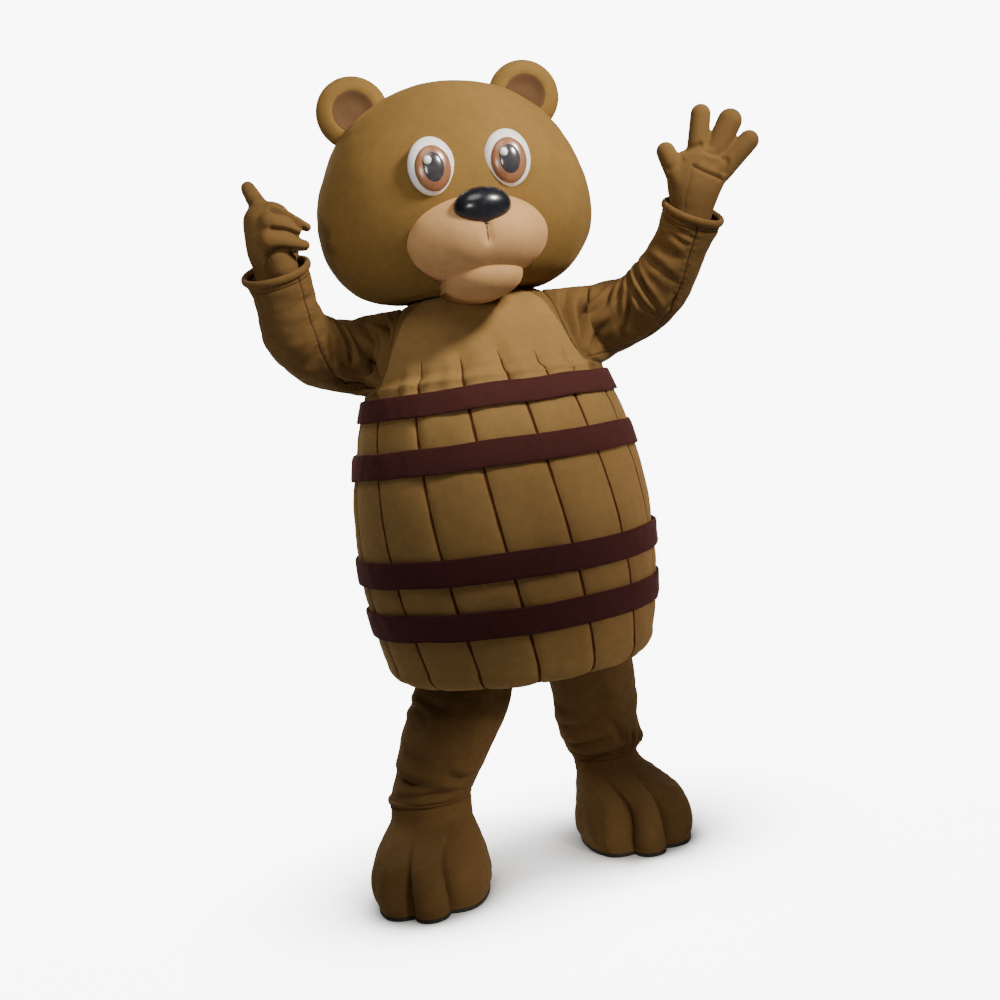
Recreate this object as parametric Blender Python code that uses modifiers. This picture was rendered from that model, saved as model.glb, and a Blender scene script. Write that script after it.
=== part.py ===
"""A stage costume: a bear's head shell over a soft barrel body, with sleeves, gloves, legs and boots.

Metres, +Z up, the costume faces -Y. Left and right are the wearer's, so the wearer's left is +X.
Heights in the tables are above the floor. The empty costume_frame lowers the whole costume, so that
the world's origin lies between the wearer's shoulders, where the costume is held up.
"""

import math
from collections import namedtuple

import bmesh
import bpy
import numpy as np
from mathutils import Matrix, Vector

# ---- driving dimensions ----------------------------------------------------------------------
SHOULDER_HEIGHT = 1.340
SEAM_GAP = 0.0003
EQUATOR = 1e-6
CAVITY_PAST = 0.02
SEAT_GAP = 0.0004
FLEECE_WALL = 0.004
BOOT_WALL = 0.008
CHEST_WALL = 0.005
CHEST_COLUMNS = 7
STAVE_WALL = 0.012
HEAD_WALL = 0.016

STAVES = 15
FIRST_SEAM = math.radians(-8)
BARREL_TWIST = math.radians(14)
BARREL_RADIUS = 0.360
BARREL_WIDEST = 0.800
BARREL_BULGE = 0.475
BARREL_TOP = 1.148
HEM_TURN = 0.540
HEM_RADIUS = 0.050
BASE_TOP = HEM_TURN - HEM_RADIUS + STAVE_WALL
STAVE_CROWN = 0.45
STAVE_ROWS = 7
STAVE_SINK = 0.005
HOOP_THICKNESS = 0.007
HOOP_STEPS = 2 * STAVES

SIDE_SIGN = {"left": 1.0, "right": -1.0}
FORWARD = (0.0, -1.0, 0.0)
LEFTWARD = (1.0, 0.0, 0.0)

ARMHOLE_LOW = 1.185
ARMHOLE_HIGH = 1.378
ARMHOLE_TURN = math.radians(38)
ARMHOLE_SQUARE = 3.0
AROUND = 20
SLEEVE_RINGS = 21
SLEEVE_INNER_RINGS = 11
CUFF_DEPTH_RING = 8
LEG_RINGS = 16
LEG_INNER_RINGS = 7
PALM_RINGS = 8
BOOT_RINGS = 8
BOOT_AROUND = 32

HEAD_CENTRE = (-0.013, -0.020)
HEAD_YAW = math.radians(10)
HEAD_AROUND = 24
HEAD_RINGS = 13
EAR_SIDE = 0.206
EAR_HEIGHT = 1.843
EAR_RADII = (0.086, 0.036, 0.086)
EAR_DISH = (0.056, 0.024, 0.056)
EAR_PANEL = 0.011
EYE_SIDE = 0.084
EYE_HEIGHT = 1.652
EAR_SEGMENTS = (16, 10)
EAR_DISH_SEGMENTS = (14, 8)
FRONT_BLOCK = 0.3

SOLE_THICKNESS = 0.008
SOLE_EDGE = 0.001
TOE_SQUARE = 0.80
TOE_GROOVES = (math.radians(-22.5), math.radians(22.5))
TOE_GROOVE_SPREAD = math.radians(22.5)

Form = namedtuple("Form", "name centre radii finish segments rings")
EyeLayer = namedtuple("EyeLayer", "name inward forward up radii finish segments rings")
TorsoRow = namedtuple("TorsoRow", "height half_width half_depth")
HeadRow = namedtuple("HeadRow", "height half_width half_depth")
TubeRow = namedtuple("TubeRow", "x y height half_up half_side")
Fold = namedtuple("Fold", "along around length spread slant height")
Hoop = namedtuple("Hoop", "name height width")
PalmRow = namedtuple("PalmRow", "x y height half_width half_thickness")
Digit = namedtuple("Digit", "base tip base_radius tip_radius")
BootRow = namedtuple("BootRow", "height half_width heel toe groove towards_leg")
Boot = namedtuple("Boot", "side centre yaw")

TORSO_ROWS = [
    TorsoRow(1.148, 0.3025, 0.3025),
    TorsoRow(1.176, 0.2915, 0.2900),
    TorsoRow(1.210, 0.2780, 0.2700),
    TorsoRow(1.260, 0.2620, 0.2440),
    TorsoRow(1.310, 0.2440, 0.2180),
    TorsoRow(1.345, 0.2200, 0.1920),
    TorsoRow(1.370, 0.1850, 0.1640),
    TorsoRow(1.3875, 0.1500, 0.1400),
]

HEAD_ROWS = [
    HeadRow(1.388, 0.150, 0.140),
    HeadRow(1.400, 0.214, 0.196),
    HeadRow(1.436, 0.270, 0.246),
    HeadRow(1.500, 0.313, 0.282),
    HeadRow(1.570, 0.327, 0.298),
    HeadRow(1.650, 0.317, 0.296),
    HeadRow(1.728, 0.285, 0.272),
    HeadRow(1.795, 0.236, 0.229),
    HeadRow(1.848, 0.166, 0.163),
    HeadRow(1.877, 0.085, 0.084),
    HeadRow(1.886, 0.000, 0.000),
]

HOOPS = [
    Hoop("hoop_1_top", 1.148, 0.052),
    Hoop("hoop_2_upper", 1.020, 0.060),
    Hoop("hoop_3_lower", 0.772, 0.062),
    Hoop("hoop_4_bottom", 0.647, 0.064),
]

MUZZLE = Form("muzzle", (0, -0.258, 1.490), (0.156, 0.128, 0.096), "peach_fleece", 18, 10)
CHIN = Form("chin", (0, -0.272, 1.408), (0.086, 0.078, 0.054), "peach_fleece", 14, 8)
NOSE = Form("nose", (0, -0.362, 1.545), (0.062, 0.042, 0.041), "black_gloss", 14, 8)
EYE_LAYERS = [
    EyeLayer("eye_white", 0.000, 0.0000, 0.000, (0.052, 0.026, 0.064), "eye_white", 12, 7),
    EyeLayer("iris", 0.000, 0.0160, -0.006, (0.040, 0.018, 0.050), "eye_brown", 12, 6),
    EyeLayer("pupil", 0.000, 0.0240, -0.006, (0.027, 0.014, 0.036), "black_gloss", 12, 6),
    EyeLayer("eye_glint", 0.011, 0.0315, 0.009, (0.009, 0.009, 0.010), "eye_white", 8, 6),
]

SLEEVE_ROWS = {
    "left": [
        TubeRow(0.322, -0.012, 1.292, 0.084, 0.104),
        TubeRow(0.375, -0.045, 1.303, 0.078, 0.088),
        TubeRow(0.430, -0.090, 1.338, 0.073, 0.078),
        TubeRow(0.468, -0.128, 1.388, 0.066, 0.070),
        TubeRow(0.500, -0.158, 1.444, 0.064, 0.066),
        TubeRow(0.527, -0.185, 1.500, 0.071, 0.071),
    ],
    "right": [
        TubeRow(-0.318, -0.020, 1.286, 0.086, 0.104),
        TubeRow(-0.365, -0.070, 1.300, 0.083, 0.090),
        TubeRow(-0.402, -0.125, 1.335, 0.078, 0.080),
        TubeRow(-0.417, -0.165, 1.385, 0.071, 0.074),
        TubeRow(-0.421, -0.188, 1.440, 0.069, 0.070),
        TubeRow(-0.428, -0.212, 1.495, 0.078, 0.078),
    ],
}

# Folds: place along the tube 0 to 1, place around it in degrees (0 faces forwards, 90 is a sleeve's
# upper side or a leg's left), their length and spread in the same measures, how far along they slant
# in a quarter turn, and their height.
SLEEVE_FOLDS = {
    "left": [
        Fold(0.10, -20, 90, 0.05, 0.10, 0.007),
        Fold(0.22, 25, 100, 0.05, 0.14, 0.009),
        Fold(0.36, 60, 90, 0.05, 0.06, 0.010),
        Fold(0.48, 75, 90, 0.05, 0.00, 0.009),
        Fold(0.62, 80, 80, 0.05, -0.06, 0.006),
        Fold(0.42, -60, 80, 0.07, 0.10, 0.005),
        Fold(0.30, 170, 100, 0.06, -0.12, 0.008),
        Fold(0.50, 150, 80, 0.05, -0.05, 0.007),
        Fold(0.80, -30, 110, 0.05, 0.06, 0.004),
    ],
    "right": [
        Fold(0.10, -25, 90, 0.05, 0.12, 0.008),
        Fold(0.22, 20, 100, 0.05, 0.16, 0.009),
        Fold(0.34, 55, 90, 0.05, 0.10, 0.009),
        Fold(0.47, 80, 90, 0.05, 0.02, 0.009),
        Fold(0.60, 70, 90, 0.06, -0.08, 0.006),
        Fold(0.45, -60, 80, 0.07, 0.10, 0.005),
        Fold(0.30, 165, 100, 0.06, -0.12, 0.008),
        Fold(0.52, 150, 80, 0.05, -0.05, 0.007),
        Fold(0.80, -20, 110, 0.05, 0.06, 0.004),
    ],
}

LEG_ROWS = {
    "left": [
        TubeRow(0.153, 0.016, 0.486, 0.107, 0.108),
        TubeRow(0.162, 0.032, 0.450, 0.110, 0.110),
        TubeRow(0.169, 0.075, 0.380, 0.106, 0.104),
        TubeRow(0.168, 0.115, 0.310, 0.105, 0.100),
        TubeRow(0.174, 0.150, 0.245, 0.101, 0.096),
        TubeRow(0.178, 0.175, 0.192, 0.083, 0.081),
    ],
    "right": [
        TubeRow(-0.145, 0.000, 0.486, 0.117, 0.119),
        TubeRow(-0.151, -0.006, 0.455, 0.124, 0.127),
        TubeRow(-0.174, -0.016, 0.400, 0.127, 0.131),
        TubeRow(-0.203, -0.030, 0.340, 0.122, 0.128),
        TubeRow(-0.238, -0.046, 0.265, 0.109, 0.112),
        TubeRow(-0.268, -0.055, 0.205, 0.100, 0.102),
    ],
}

LEG_FOLDS = {
    "left": [
        Fold(0.55, 0, 120, 0.06, 0.06, 0.006),
        Fold(0.78, -10, 150, 0.06, -0.04, 0.010),
        Fold(0.80, 170, 150, 0.06, 0.04, 0.009),
        Fold(0.60, 180, 110, 0.06, -0.06, 0.006),
        Fold(0.30, 90, 100, 0.08, 0.10, 0.005),
    ],
    "right": [
        Fold(0.40, 20, 110, 0.07, -0.14, 0.006),
        Fold(0.58, -20, 120, 0.06, -0.10, 0.008),
        Fold(0.76, 0, 140, 0.06, 0.03, 0.008),
        Fold(0.78, 180, 140, 0.06, -0.03, 0.008),
        Fold(0.35, 180, 110, 0.07, 0.08, 0.006),
    ],
}

# Gloves: a palm or fist through oval sections from the wrist up, and digits that taper to the tip.
PALM_ROWS = {
    "left": [
        PalmRow(0.5200, -0.1980, 1.5060, 0.051, 0.038),
        PalmRow(0.5275, -0.2040, 1.5385, 0.060, 0.040),
        PalmRow(0.5379, -0.2060, 1.5706, 0.068, 0.040),
        PalmRow(0.5520, -0.2070, 1.5961, 0.064, 0.037),
        PalmRow(0.5640, -0.2080, 1.6160, 0.048, 0.031),
        PalmRow(0.5700, -0.2080, 1.6290, 0.020, 0.014),
    ],
    "right": [
        PalmRow(-0.4275, -0.2260, 1.5030, 0.050, 0.046),
        PalmRow(-0.4240, -0.2320, 1.5270, 0.058, 0.050),
        PalmRow(-0.4215, -0.2360, 1.5700, 0.060, 0.050),
        PalmRow(-0.4240, -0.2370, 1.6050, 0.054, 0.045),
        PalmRow(-0.4230, -0.2370, 1.6290, 0.038, 0.030),
        PalmRow(-0.4225, -0.2370, 1.6400, 0.015, 0.012),
    ],
}
PALM_LEAN = {"left": math.radians(18), "right": math.radians(4)}
DIGITS = {
    "left": [
        Digit((0.500, -0.212, 1.560), (0.4748, -0.218, 1.6295), 0.0270, 0.0220),
        Digit((0.544, -0.206, 1.610), (0.5640, -0.210, 1.7020), 0.0245, 0.0230),
        Digit((0.582, -0.206, 1.610), (0.6265, -0.212, 1.6781), 0.0260, 0.0280),
        Digit((0.592, -0.206, 1.570), (0.6633, -0.212, 1.6296), 0.0260, 0.0235),
    ],
    "right": [
        Digit((-0.434, -0.236, 1.618), (-0.457, -0.240, 1.673), 0.0235, 0.0165),
        Digit((-0.408, -0.262, 1.618), (-0.344, -0.262, 1.574), 0.0235, 0.0155),
        Digit((-0.404, -0.272, 1.592), (-0.350, -0.270, 1.559), 0.0230, 0.0170),
        Digit((-0.418, -0.272, 1.560), (-0.353, -0.272, 1.529), 0.0270, 0.0190),
        Digit((-0.416, -0.258, 1.516), (-0.408, -0.264, 1.496), 0.0300, 0.0270),
    ],
}
HOLLOW_DIGITS = {"left": 4, "right": 1}

# A boot from its underside up: where its heel and toes reach from the centre, how deep the grooves
# between its three toes are, and how far each section has turned into the leg's.
BOOT_ROWS = [
    BootRow(0.008, 0.130, -0.180, 0.188, 0.021, 0.0),
    BootRow(0.040, 0.138, -0.190, 0.200, 0.025, 0.0),
    BootRow(0.080, 0.137, -0.184, 0.200, 0.025, 0.0),
    BootRow(0.118, 0.128, -0.178, 0.182, 0.021, 0.08),
    BootRow(0.148, 0.115, -0.174, 0.134, 0.013, 0.40),
    BootRow(0.169, 0.102, -0.172, 0.072, 0.004, 0.82),
    BootRow(0.190, 0.090, -0.170, 0.050, 0.000, 1.0),
]
BOOTS = [
    Boot("left", (0.2180, 0.0700), math.radians(12)),
    Boot("right", (-0.2800, -0.1550), math.radians(-2)),
]

Finish = namedtuple("Finish", "colour roughness")
FINISHES = {
    "brown_fleece": Finish((0.200, 0.122, 0.045), 0.95),
    "honey_fleece": Finish((0.340, 0.215, 0.090), 0.95),
    "peach_fleece": Finish((0.560, 0.340, 0.160), 0.95),
    "hoop_fleece": Finish((0.072, 0.026, 0.022), 0.95),
    "black_gloss": Finish((0.010, 0.010, 0.014), 0.15),
    "eye_white": Finish((0.900, 0.900, 0.880), 0.35),
    "eye_brown": Finish((0.180, 0.075, 0.030), 0.30),
    "sole_black": Finish((0.015, 0.014, 0.013), 0.80),
}


# ---- scene, collections and finishes ---------------------------------------------------------
def clear_scene():
    for thing in list(bpy.data.objects):
        bpy.data.objects.remove(thing, do_unlink=True)


def new_collection(name):
    collection = bpy.data.collections.new(name)
    bpy.context.scene.collection.children.link(collection)
    return collection


def new_empty(name, location=(0, 0, 0), yaw=0.0, parent=None):
    empty = bpy.data.objects.new(name, None)
    empty.location = location
    empty.rotation_euler = (0, 0, yaw)
    empty.parent = parent
    PARTS.objects.link(empty)
    return empty


def new_finish(name):
    finish = FINISHES[name.rsplit("__", 1)[0]]
    material = bpy.data.materials.new(name)
    material.use_nodes = True
    shader = material.node_tree.nodes["Principled BSDF"]
    shader.inputs["Base Color"].default_value = (*finish.colour, 1.0)
    shader.inputs["Roughness"].default_value = finish.roughness
    shader.inputs["Metallic"].default_value = 0.0
    material.diffuse_color = (*finish.colour, 1.0)
    return material


def add_piece(name, mesh, finish, parent, smooth=True):
    """Put a mesh in the costume as the sub-part `name`, with its own material."""
    mesh.materials.clear()
    mesh.materials.append(new_finish(f"{finish}__{name}"))
    if smooth:
        mesh.shade_smooth()
        mesh.set_sharp_from_angle(angle=math.radians(50))
    piece = bpy.data.objects.new(name, mesh)
    piece.parent = parent
    PARTS.objects.link(piece)
    return piece


def add_guide(name, mesh, parent):
    """Put a mesh among the hidden guides, which only cut or join the sub-parts."""
    guide = bpy.data.objects.new(name, mesh)
    guide.parent = parent
    guide.hide_render = True
    guide.display_type = "WIRE"
    GUIDES.objects.link(guide)
    return guide


def boolean(piece, operation, other):
    modifier = piece.modifiers.new(f"{operation.lower()}_{other.name}", "BOOLEAN")
    modifier.operation = operation
    modifier.object = other
    modifier.solver = "EXACT"


# ---- tables read as smooth curves ------------------------------------------------------------
def smooth_rows(rows, count):
    """A table's columns at even steps along the Catmull-Rom curve through its rows."""
    table = np.array(rows, dtype=float)
    ends = (2 * table[0] - table[1], 2 * table[-1] - table[-2])
    padded = np.vstack([ends[0], table, ends[1]])
    steps = np.linspace(0, len(table) - 1, count)
    start = np.minimum(steps.astype(int), len(table) - 2)
    t = (steps - start)[:, None]
    a, b, c, d = (padded[start + k] for k in range(4))
    bend = (2 * a - 5 * b + 4 * c - d) * t**2
    twist = (3 * b - a - 3 * c + d) * t**3
    return 0.5 * (2 * b + (c - a) * t + bend + twist)


def radii_at(rows, heights):
    """Half width and half depth of a table of horizontal sections, at the given heights."""
    fine = smooth_rows(rows, 400)
    widths = np.interp(heights, fine[:, 0], fine[:, 1])
    depths = np.interp(heights, fine[:, 0], fine[:, 2])
    return widths, depths


# ---- meshes from grids of points -------------------------------------------------------------
def mesh_of(name, points, faces):
    mesh = bpy.data.meshes.new(name)
    mesh.from_pydata([tuple(point) for point in points], [], faces)
    work = bmesh.new()
    work.from_mesh(mesh)
    bmesh.ops.recalc_face_normals(work, faces=work.faces)
    work.to_mesh(mesh)
    work.free()
    return mesh


def grid_faces(rows, columns, first, closed):
    """Quads between neighbouring points of a grid, whose last column meets its first if closed."""
    faces = []
    for row in range(rows - 1):
        for column in range(columns if closed else columns - 1):
            beside = (column + 1) % columns
            low = first + row * columns
            high = low + columns
            faces.append((low + column, low + beside, high + beside, high + column))
    return faces


def tube_wall(name, outer, inner, closed_end=False):
    """A wall between two stacks of rings, open at both ends or closed over at the last ring."""
    around = outer.shape[1]
    first_inner = outer.shape[0] * around
    points = list(outer.reshape(-1, 3)) + list(inner.reshape(-1, 3))
    faces = grid_faces(outer.shape[0], around, 0, True)
    faces += grid_faces(inner.shape[0], around, first_inner, True)
    ends = (first_inner - around, len(points) - around)
    for column in range(around):
        beside = (column + 1) % around
        faces.append((column, beside, first_inner + beside, first_inner + column))
        if not closed_end:
            faces.append((ends[0] + column, ends[0] + beside, ends[1] + beside, ends[1] + column))
    if closed_end:
        for first, ring in zip(ends, (outer[-1], inner[-1])):
            points.append(ring.mean(axis=0))
            pole = len(points) - 1
            for column in range(around):
                faces.append((first + column, first + (column + 1) % around, pole))
    return mesh_of(name, points, faces)


def panel_wall(name, outer, inner):
    """A wall between two open grids of points, closed round its four edges."""
    rows, columns = outer.shape[:2]
    half = rows * columns
    points = list(outer.reshape(-1, 3)) + list(inner.reshape(-1, 3))
    faces = grid_faces(rows, columns, 0, False) + grid_faces(rows, columns, half, False)
    border = [column for column in range(columns)]
    border += [row * columns + columns - 1 for row in range(1, rows)]
    border += [(rows - 1) * columns + column for column in range(columns - 2, -1, -1)]
    border += [row * columns for row in range(rows - 2, 0, -1)]
    for here, there in zip(border, border[1:] + border[:1]):
        faces.append((here, there, half + there, half + here))
    return mesh_of(name, points, faces)


def solid_loft(name, rings):
    """A solid through a stack of rings, with flat ends."""
    count, around = rings.shape[:2]
    points = list(rings.reshape(-1, 3))
    faces = grid_faces(count, around, 0, True)
    faces.append(tuple(range(around)))
    faces.append(tuple((count - 1) * around + column for column in range(around)))
    return mesh_of(name, points, faces)


def normals_of(rings):
    """Outward unit normals at the points of a stack of closed rings."""
    along = np.gradient(rings, axis=0)
    across = np.roll(rings, -1, axis=1) - np.roll(rings, 1, axis=1)
    normals = np.cross(across, along)
    normals /= np.maximum(np.linalg.norm(normals, axis=2, keepdims=True), 1e-12)
    centres = rings.mean(axis=1, keepdims=True)
    outward = np.sum(normals * (rings - centres), axis=2).sum()
    return normals if outward > 0 else -normals


def ellipsoid_mesh(name, centre, radii, segments=16, rings=9):
    mesh = bpy.data.meshes.new(name)
    work = bmesh.new()
    bmesh.ops.create_uvsphere(work, u_segments=segments, v_segments=rings, radius=1.0)
    place = Matrix.Translation(centre) @ Matrix.Diagonal((*radii, 1.0))
    bmesh.ops.transform(work, matrix=place, verts=work.verts)
    work.to_mesh(mesh)
    work.free()
    return mesh


def digit_mesh(name, digit, inset=0.0, segments=8, rings=6):
    """A tapering rod with round ends between the centres of a digit's base and tip."""
    mesh = bpy.data.meshes.new(name)
    work = bmesh.new()
    bmesh.ops.create_uvsphere(work, u_segments=segments, v_segments=rings, radius=1.0)
    axis = Vector(digit.tip) - Vector(digit.base)
    for vertex in work.verts:
        at_tip = vertex.co.z > EQUATOR
        vertex.co *= (digit.tip_radius if at_tip else digit.base_radius) - inset
        vertex.co.z += axis.length if at_tip else 0.0
    turn = axis.to_track_quat("Z", "X").to_matrix().to_4x4()
    bmesh.ops.transform(work, matrix=Matrix.Translation(digit.base) @ turn, verts=work.verts)
    work.to_mesh(mesh)
    work.free()
    return mesh


def grown(radii, growth):
    return tuple(radius + growth for radius in radii)


# ---- the barrel ------------------------------------------------------------------------------
def barrel_radius(height):
    """The barrel's crown: a parabola that is widest at BARREL_WIDEST."""
    return BARREL_RADIUS - BARREL_BULGE * (height - BARREL_WIDEST) ** 2


def barrel_twist(height):
    """How far the padding has turned on its wearer: nothing at the top edge, most at the hem."""
    fall = BARREL_TOP - np.maximum(height, HEM_TURN)
    return BARREL_TWIST * fall / (BARREL_TOP - HEM_TURN)


def hem_centre():
    """Centre of the hem's turn, as a radius."""
    return barrel_radius(HEM_TURN) - HEM_RADIUS


def stave_profile():
    """Rows of radius, height and outward direction, from the turned-in hem up to the top edge."""
    hem = []
    for angle in np.radians([-90, -62, -32]):
        cos, sin = math.cos(angle), math.sin(angle)
        hem.append((hem_centre() + HEM_RADIUS * cos, HEM_TURN + HEM_RADIUS * sin, cos, sin))
    heights = np.linspace(HEM_TURN, BARREL_TOP - SEAM_GAP / 2, STAVE_ROWS)
    side = [(barrel_radius(h), h, 1.0, 0.0) for h in heights]
    return np.array(hem + side)


def make_staves():
    """Fifteen padded staves; each has a flat crown and edges that roll in to the seams."""
    radius, height, out, up = stave_profile().T
    twist = barrel_twist(height)[:, None]
    columns = np.array([-1.0, -STAVE_CROWN, STAVE_CROWN, 1.0])
    sinks = np.where(np.abs(columns) > STAVE_CROWN, STAVE_SINK, 0.0)
    skins = []
    for sink in (sinks, sinks * 0 + STAVE_WALL):
        r = radius[:, None] - out[:, None] * sink
        z = height[:, None] - up[:, None] * sink
        half_turn = math.pi / STAVES - SEAM_GAP / 2 / r
        angle = columns * half_turn + twist
        skins.append(np.stack([r * np.sin(angle), -r * np.cos(angle), z + 0 * angle], axis=2))
    for index in range(STAVES):
        mesh = panel_wall(f"stave_{index + 1:02d}", *skins)
        stave = add_piece(f"stave_{index + 1:02d}", mesh, "honey_fleece", COSTUME)
        stave.rotation_euler.z = FIRST_SEAM + (index + 0.5) * math.tau / STAVES


def make_hoops():
    """Four padded bands turned round the barrel, each following the bulge that it lies on."""
    chord = 1 / math.cos(math.pi / HOOP_STEPS)
    for hoop in HOOPS:
        heights = [hoop.height + hoop.width * part for part in (0.5, 0.0, -0.5)]
        inner = [(barrel_radius(h) * chord + SEAT_GAP, h) for h in heights]
        outer = [(radius + HOOP_THICKNESS, h) for radius, h in inner]
        profile = outer + inner[::-1]
        mesh = bpy.data.meshes.new(hoop.name)
        points = [(radius, 0, h) for radius, h in profile]
        mesh.from_pydata(points, [(k, (k + 1) % len(points)) for k in range(len(points))], [])
        band = add_piece(hoop.name, mesh, "hoop_fleece", COSTUME, smooth=False)
        band.rotation_euler.z = FIRST_SEAM - math.pi / 2
        screw = band.modifiers.new("turn", "SCREW")
        screw.axis = "Z"
        screw.steps = HOOP_STEPS
        screw.render_steps = HOOP_STEPS
        screw.use_merge_vertices = True
        screw.merge_threshold = 0.0001
        screw.use_smooth_shade = True


def ring_in_plane(centre, side, up, half_side, half_up, around=AROUND):
    """A ring of points: angle 0 lies on `side`, a quarter turn on `up`."""
    angle = np.arange(around) * math.tau / around
    across = (np.cos(angle) * half_side)[:, None] * np.array(side)
    return np.array(centre) + across + (np.sin(angle) * half_up)[:, None] * np.array(up)


def make_base():
    """The panel that closes the barrel underneath, with a round hole for each leg."""
    low = HEM_TURN - HEM_RADIUS
    mesh = bpy.data.meshes.new("barrel_base")
    work = bmesh.new()
    radius = hem_centre() * math.cos(STAVE_CROWN * math.pi / STAVES) - SEAM_GAP
    disc = bmesh.ops.create_cone(
        work, cap_ends=True, segments=2 * STAVES, radius1=radius, radius2=radius, depth=STAVE_WALL
    )
    turn = Matrix.Rotation(FIRST_SEAM + barrel_twist(low), 4, "Z")
    place = Matrix.Translation((0, 0, low + STAVE_WALL / 2)) @ turn
    bmesh.ops.transform(work, matrix=place, verts=disc["verts"])
    work.to_mesh(mesh)
    work.free()
    base = add_piece("barrel_base", mesh, "brown_fleece", COSTUME)
    for side in ("left", "right"):
        top = LEG_ROWS[side][0]
        rings = []
        for height in (low - STAVE_WALL, low + 2 * STAVE_WALL):
            centre = (top.x, top.y, height)
            rings.append(
                ring_in_plane(centre, FORWARD, LEFTWARD, top.half_side + SEAT_GAP, top.half_up + SEAT_GAP)
            )
        hole = add_guide(f"leg_hole_{side}", solid_loft(f"leg_hole_{side}", np.array(rings)), COSTUME)
        boolean(base, "DIFFERENCE", hole)


# ---- the chest -------------------------------------------------------------------------------
def torso_point(angle, height, inset=0.0):
    """A point of the torso, `angle` from the front towards +X, moved in by `inset` along the normal."""
    angle, height = np.broadcast_arrays(np.asarray(angle, float), np.asarray(height, float))
    width, depth = radii_at(TORSO_ROWS, height)
    step = 0.002
    width_up, depth_up = radii_at(TORSO_ROWS, height + step)
    width_down, depth_down = radii_at(TORSO_ROWS, height - step)
    point = np.stack([width * np.sin(angle), -depth * np.cos(angle), height], axis=-1)
    around = np.stack([width * np.cos(angle), depth * np.sin(angle), 0 * height], axis=-1)
    rise_x = (width_up - width_down) * np.sin(angle)
    rise_y = -(depth_up - depth_down) * np.cos(angle)
    reach = np.where(width_up == width_down, step, 2 * step)
    rise = np.stack([rise_x, rise_y, reach + 0 * height], axis=-1)
    normal = np.cross(around, rise)
    normal /= np.linalg.norm(normal, axis=-1, keepdims=True)
    return point - inset * normal


def armhole(phase, shrink=0.0):
    """Angle back from the side seam and height, at a phase round the armhole from its front."""
    middle = (ARMHOLE_LOW + ARMHOLE_HIGH) / 2
    half = (ARMHOLE_HIGH - ARMHOLE_LOW) / 2 - shrink
    turn = ARMHOLE_TURN - shrink / 0.25
    power = 2 / ARMHOLE_SQUARE
    swing = turn * np.sign(np.cos(phase)) * np.abs(np.cos(phase)) ** power
    height = middle + half * np.sign(np.sin(phase)) * np.abs(np.sin(phase)) ** power
    return swing, height


def make_chest():
    """Front and back of the chest: each fills the space between the side seams and the armholes."""
    phases = np.radians(np.linspace(-90, 90, AROUND // 2 + 1))
    swing, heights = armhole(phases)
    rows = np.concatenate([[BARREL_TOP + SEAM_GAP / 2], heights, [TORSO_ROWS[-1].height]])
    swing = np.concatenate([[0.0], np.maximum(swing, 0.0), [0.0]])
    edge = math.pi / 2 - swing - SEAM_GAP
    across = np.linspace(-1, 1, CHEST_COLUMNS)
    halves = (("chest_front", 0.0, "honey_fleece"), ("chest_back", math.pi, "brown_fleece"))
    for name, facing, finish in halves:
        angles = facing + across[None, :] * edge[:, None]
        heights = np.repeat(rows[:, None], len(across), axis=1)
        outer = torso_point(angles, heights)
        inner = torso_point(angles, heights, CHEST_WALL)
        inner[[0, -1], :, 2] = outer[[0, -1], :, 2]
        add_piece(name, panel_wall(name, outer, inner), finish, COSTUME)


# ---- sleeves and legs ------------------------------------------------------------------------
def carry_frames(centres, first):
    """Directions along a path, and an up direction carried along it with the least turning."""
    along = np.gradient(centres, axis=0)
    along /= np.linalg.norm(along, axis=1, keepdims=True)
    along[0] = first
    ups = []
    up = np.array((0.0, 0.0, 1.0))
    for direction in along:
        up = up - direction * np.dot(up, direction)
        up /= np.linalg.norm(up)
        ups.append(up)
    return along, np.array(ups)


def fold_relief(folds, rings, around):
    """Height of the folds over a tube: each is a soft ridge, slanting as it runs round the tube."""
    along = np.linspace(0, 1, rings)[:, None]
    angle = np.degrees(np.arange(around) * math.tau / around)[None, :]
    relief = np.zeros((rings, around))
    for fold in folds:
        turn = (angle - fold.around + 180) % 360 - 180
        ridge_place = fold.along + fold.slant * turn / 90
        ridge = np.exp(-(((along - ridge_place) / fold.spread) ** 2))
        reach = np.exp(-((turn / (fold.length / 2)) ** 2))
        relief += fold.height * ridge * reach
    fade = np.clip(np.minimum(along, 1 - along) * 8, 0, 1)
    return relief * fade


def tube_rings(rows, count, first, side_sign, inset=0.0, relief=None):
    """Rings square to the path through the rows' centres, shaped by the rows' two radii."""
    values = smooth_rows(rows, count)
    along, ups = carry_frames(values[:, :3], first)
    rings = []
    for k, (x, y, height, half_up, half_side) in enumerate(values):
        side = np.cross(along[k], ups[k]) * side_sign
        grow = (0.0 if relief is None else relief[k]) - inset
        rings.append(ring_in_plane((x, y, height), side, ups[k], half_side + grow, half_up + grow))
    return np.array(rings)


def sleeve_skin(side, count, inset, relief=None):
    """Rings of a sleeve after its seam: 0 faces forwards, a quarter turn is the upper side."""
    sign = SIDE_SIGN[side]
    return tube_rings(SLEEVE_ROWS[side], count, (sign, 0, 0), sign, inset, relief)


def sleeve_seam(side, shrink):
    """The ring in which a sleeve meets the armhole of the chest."""
    phases = np.arange(AROUND) * math.tau / AROUND
    swing, heights = armhole(phases, shrink)
    angles = math.pi / 2 - swing
    ring = torso_point(angles, heights)
    ring[:, 0] *= SIDE_SIGN[side]
    return ring


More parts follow.
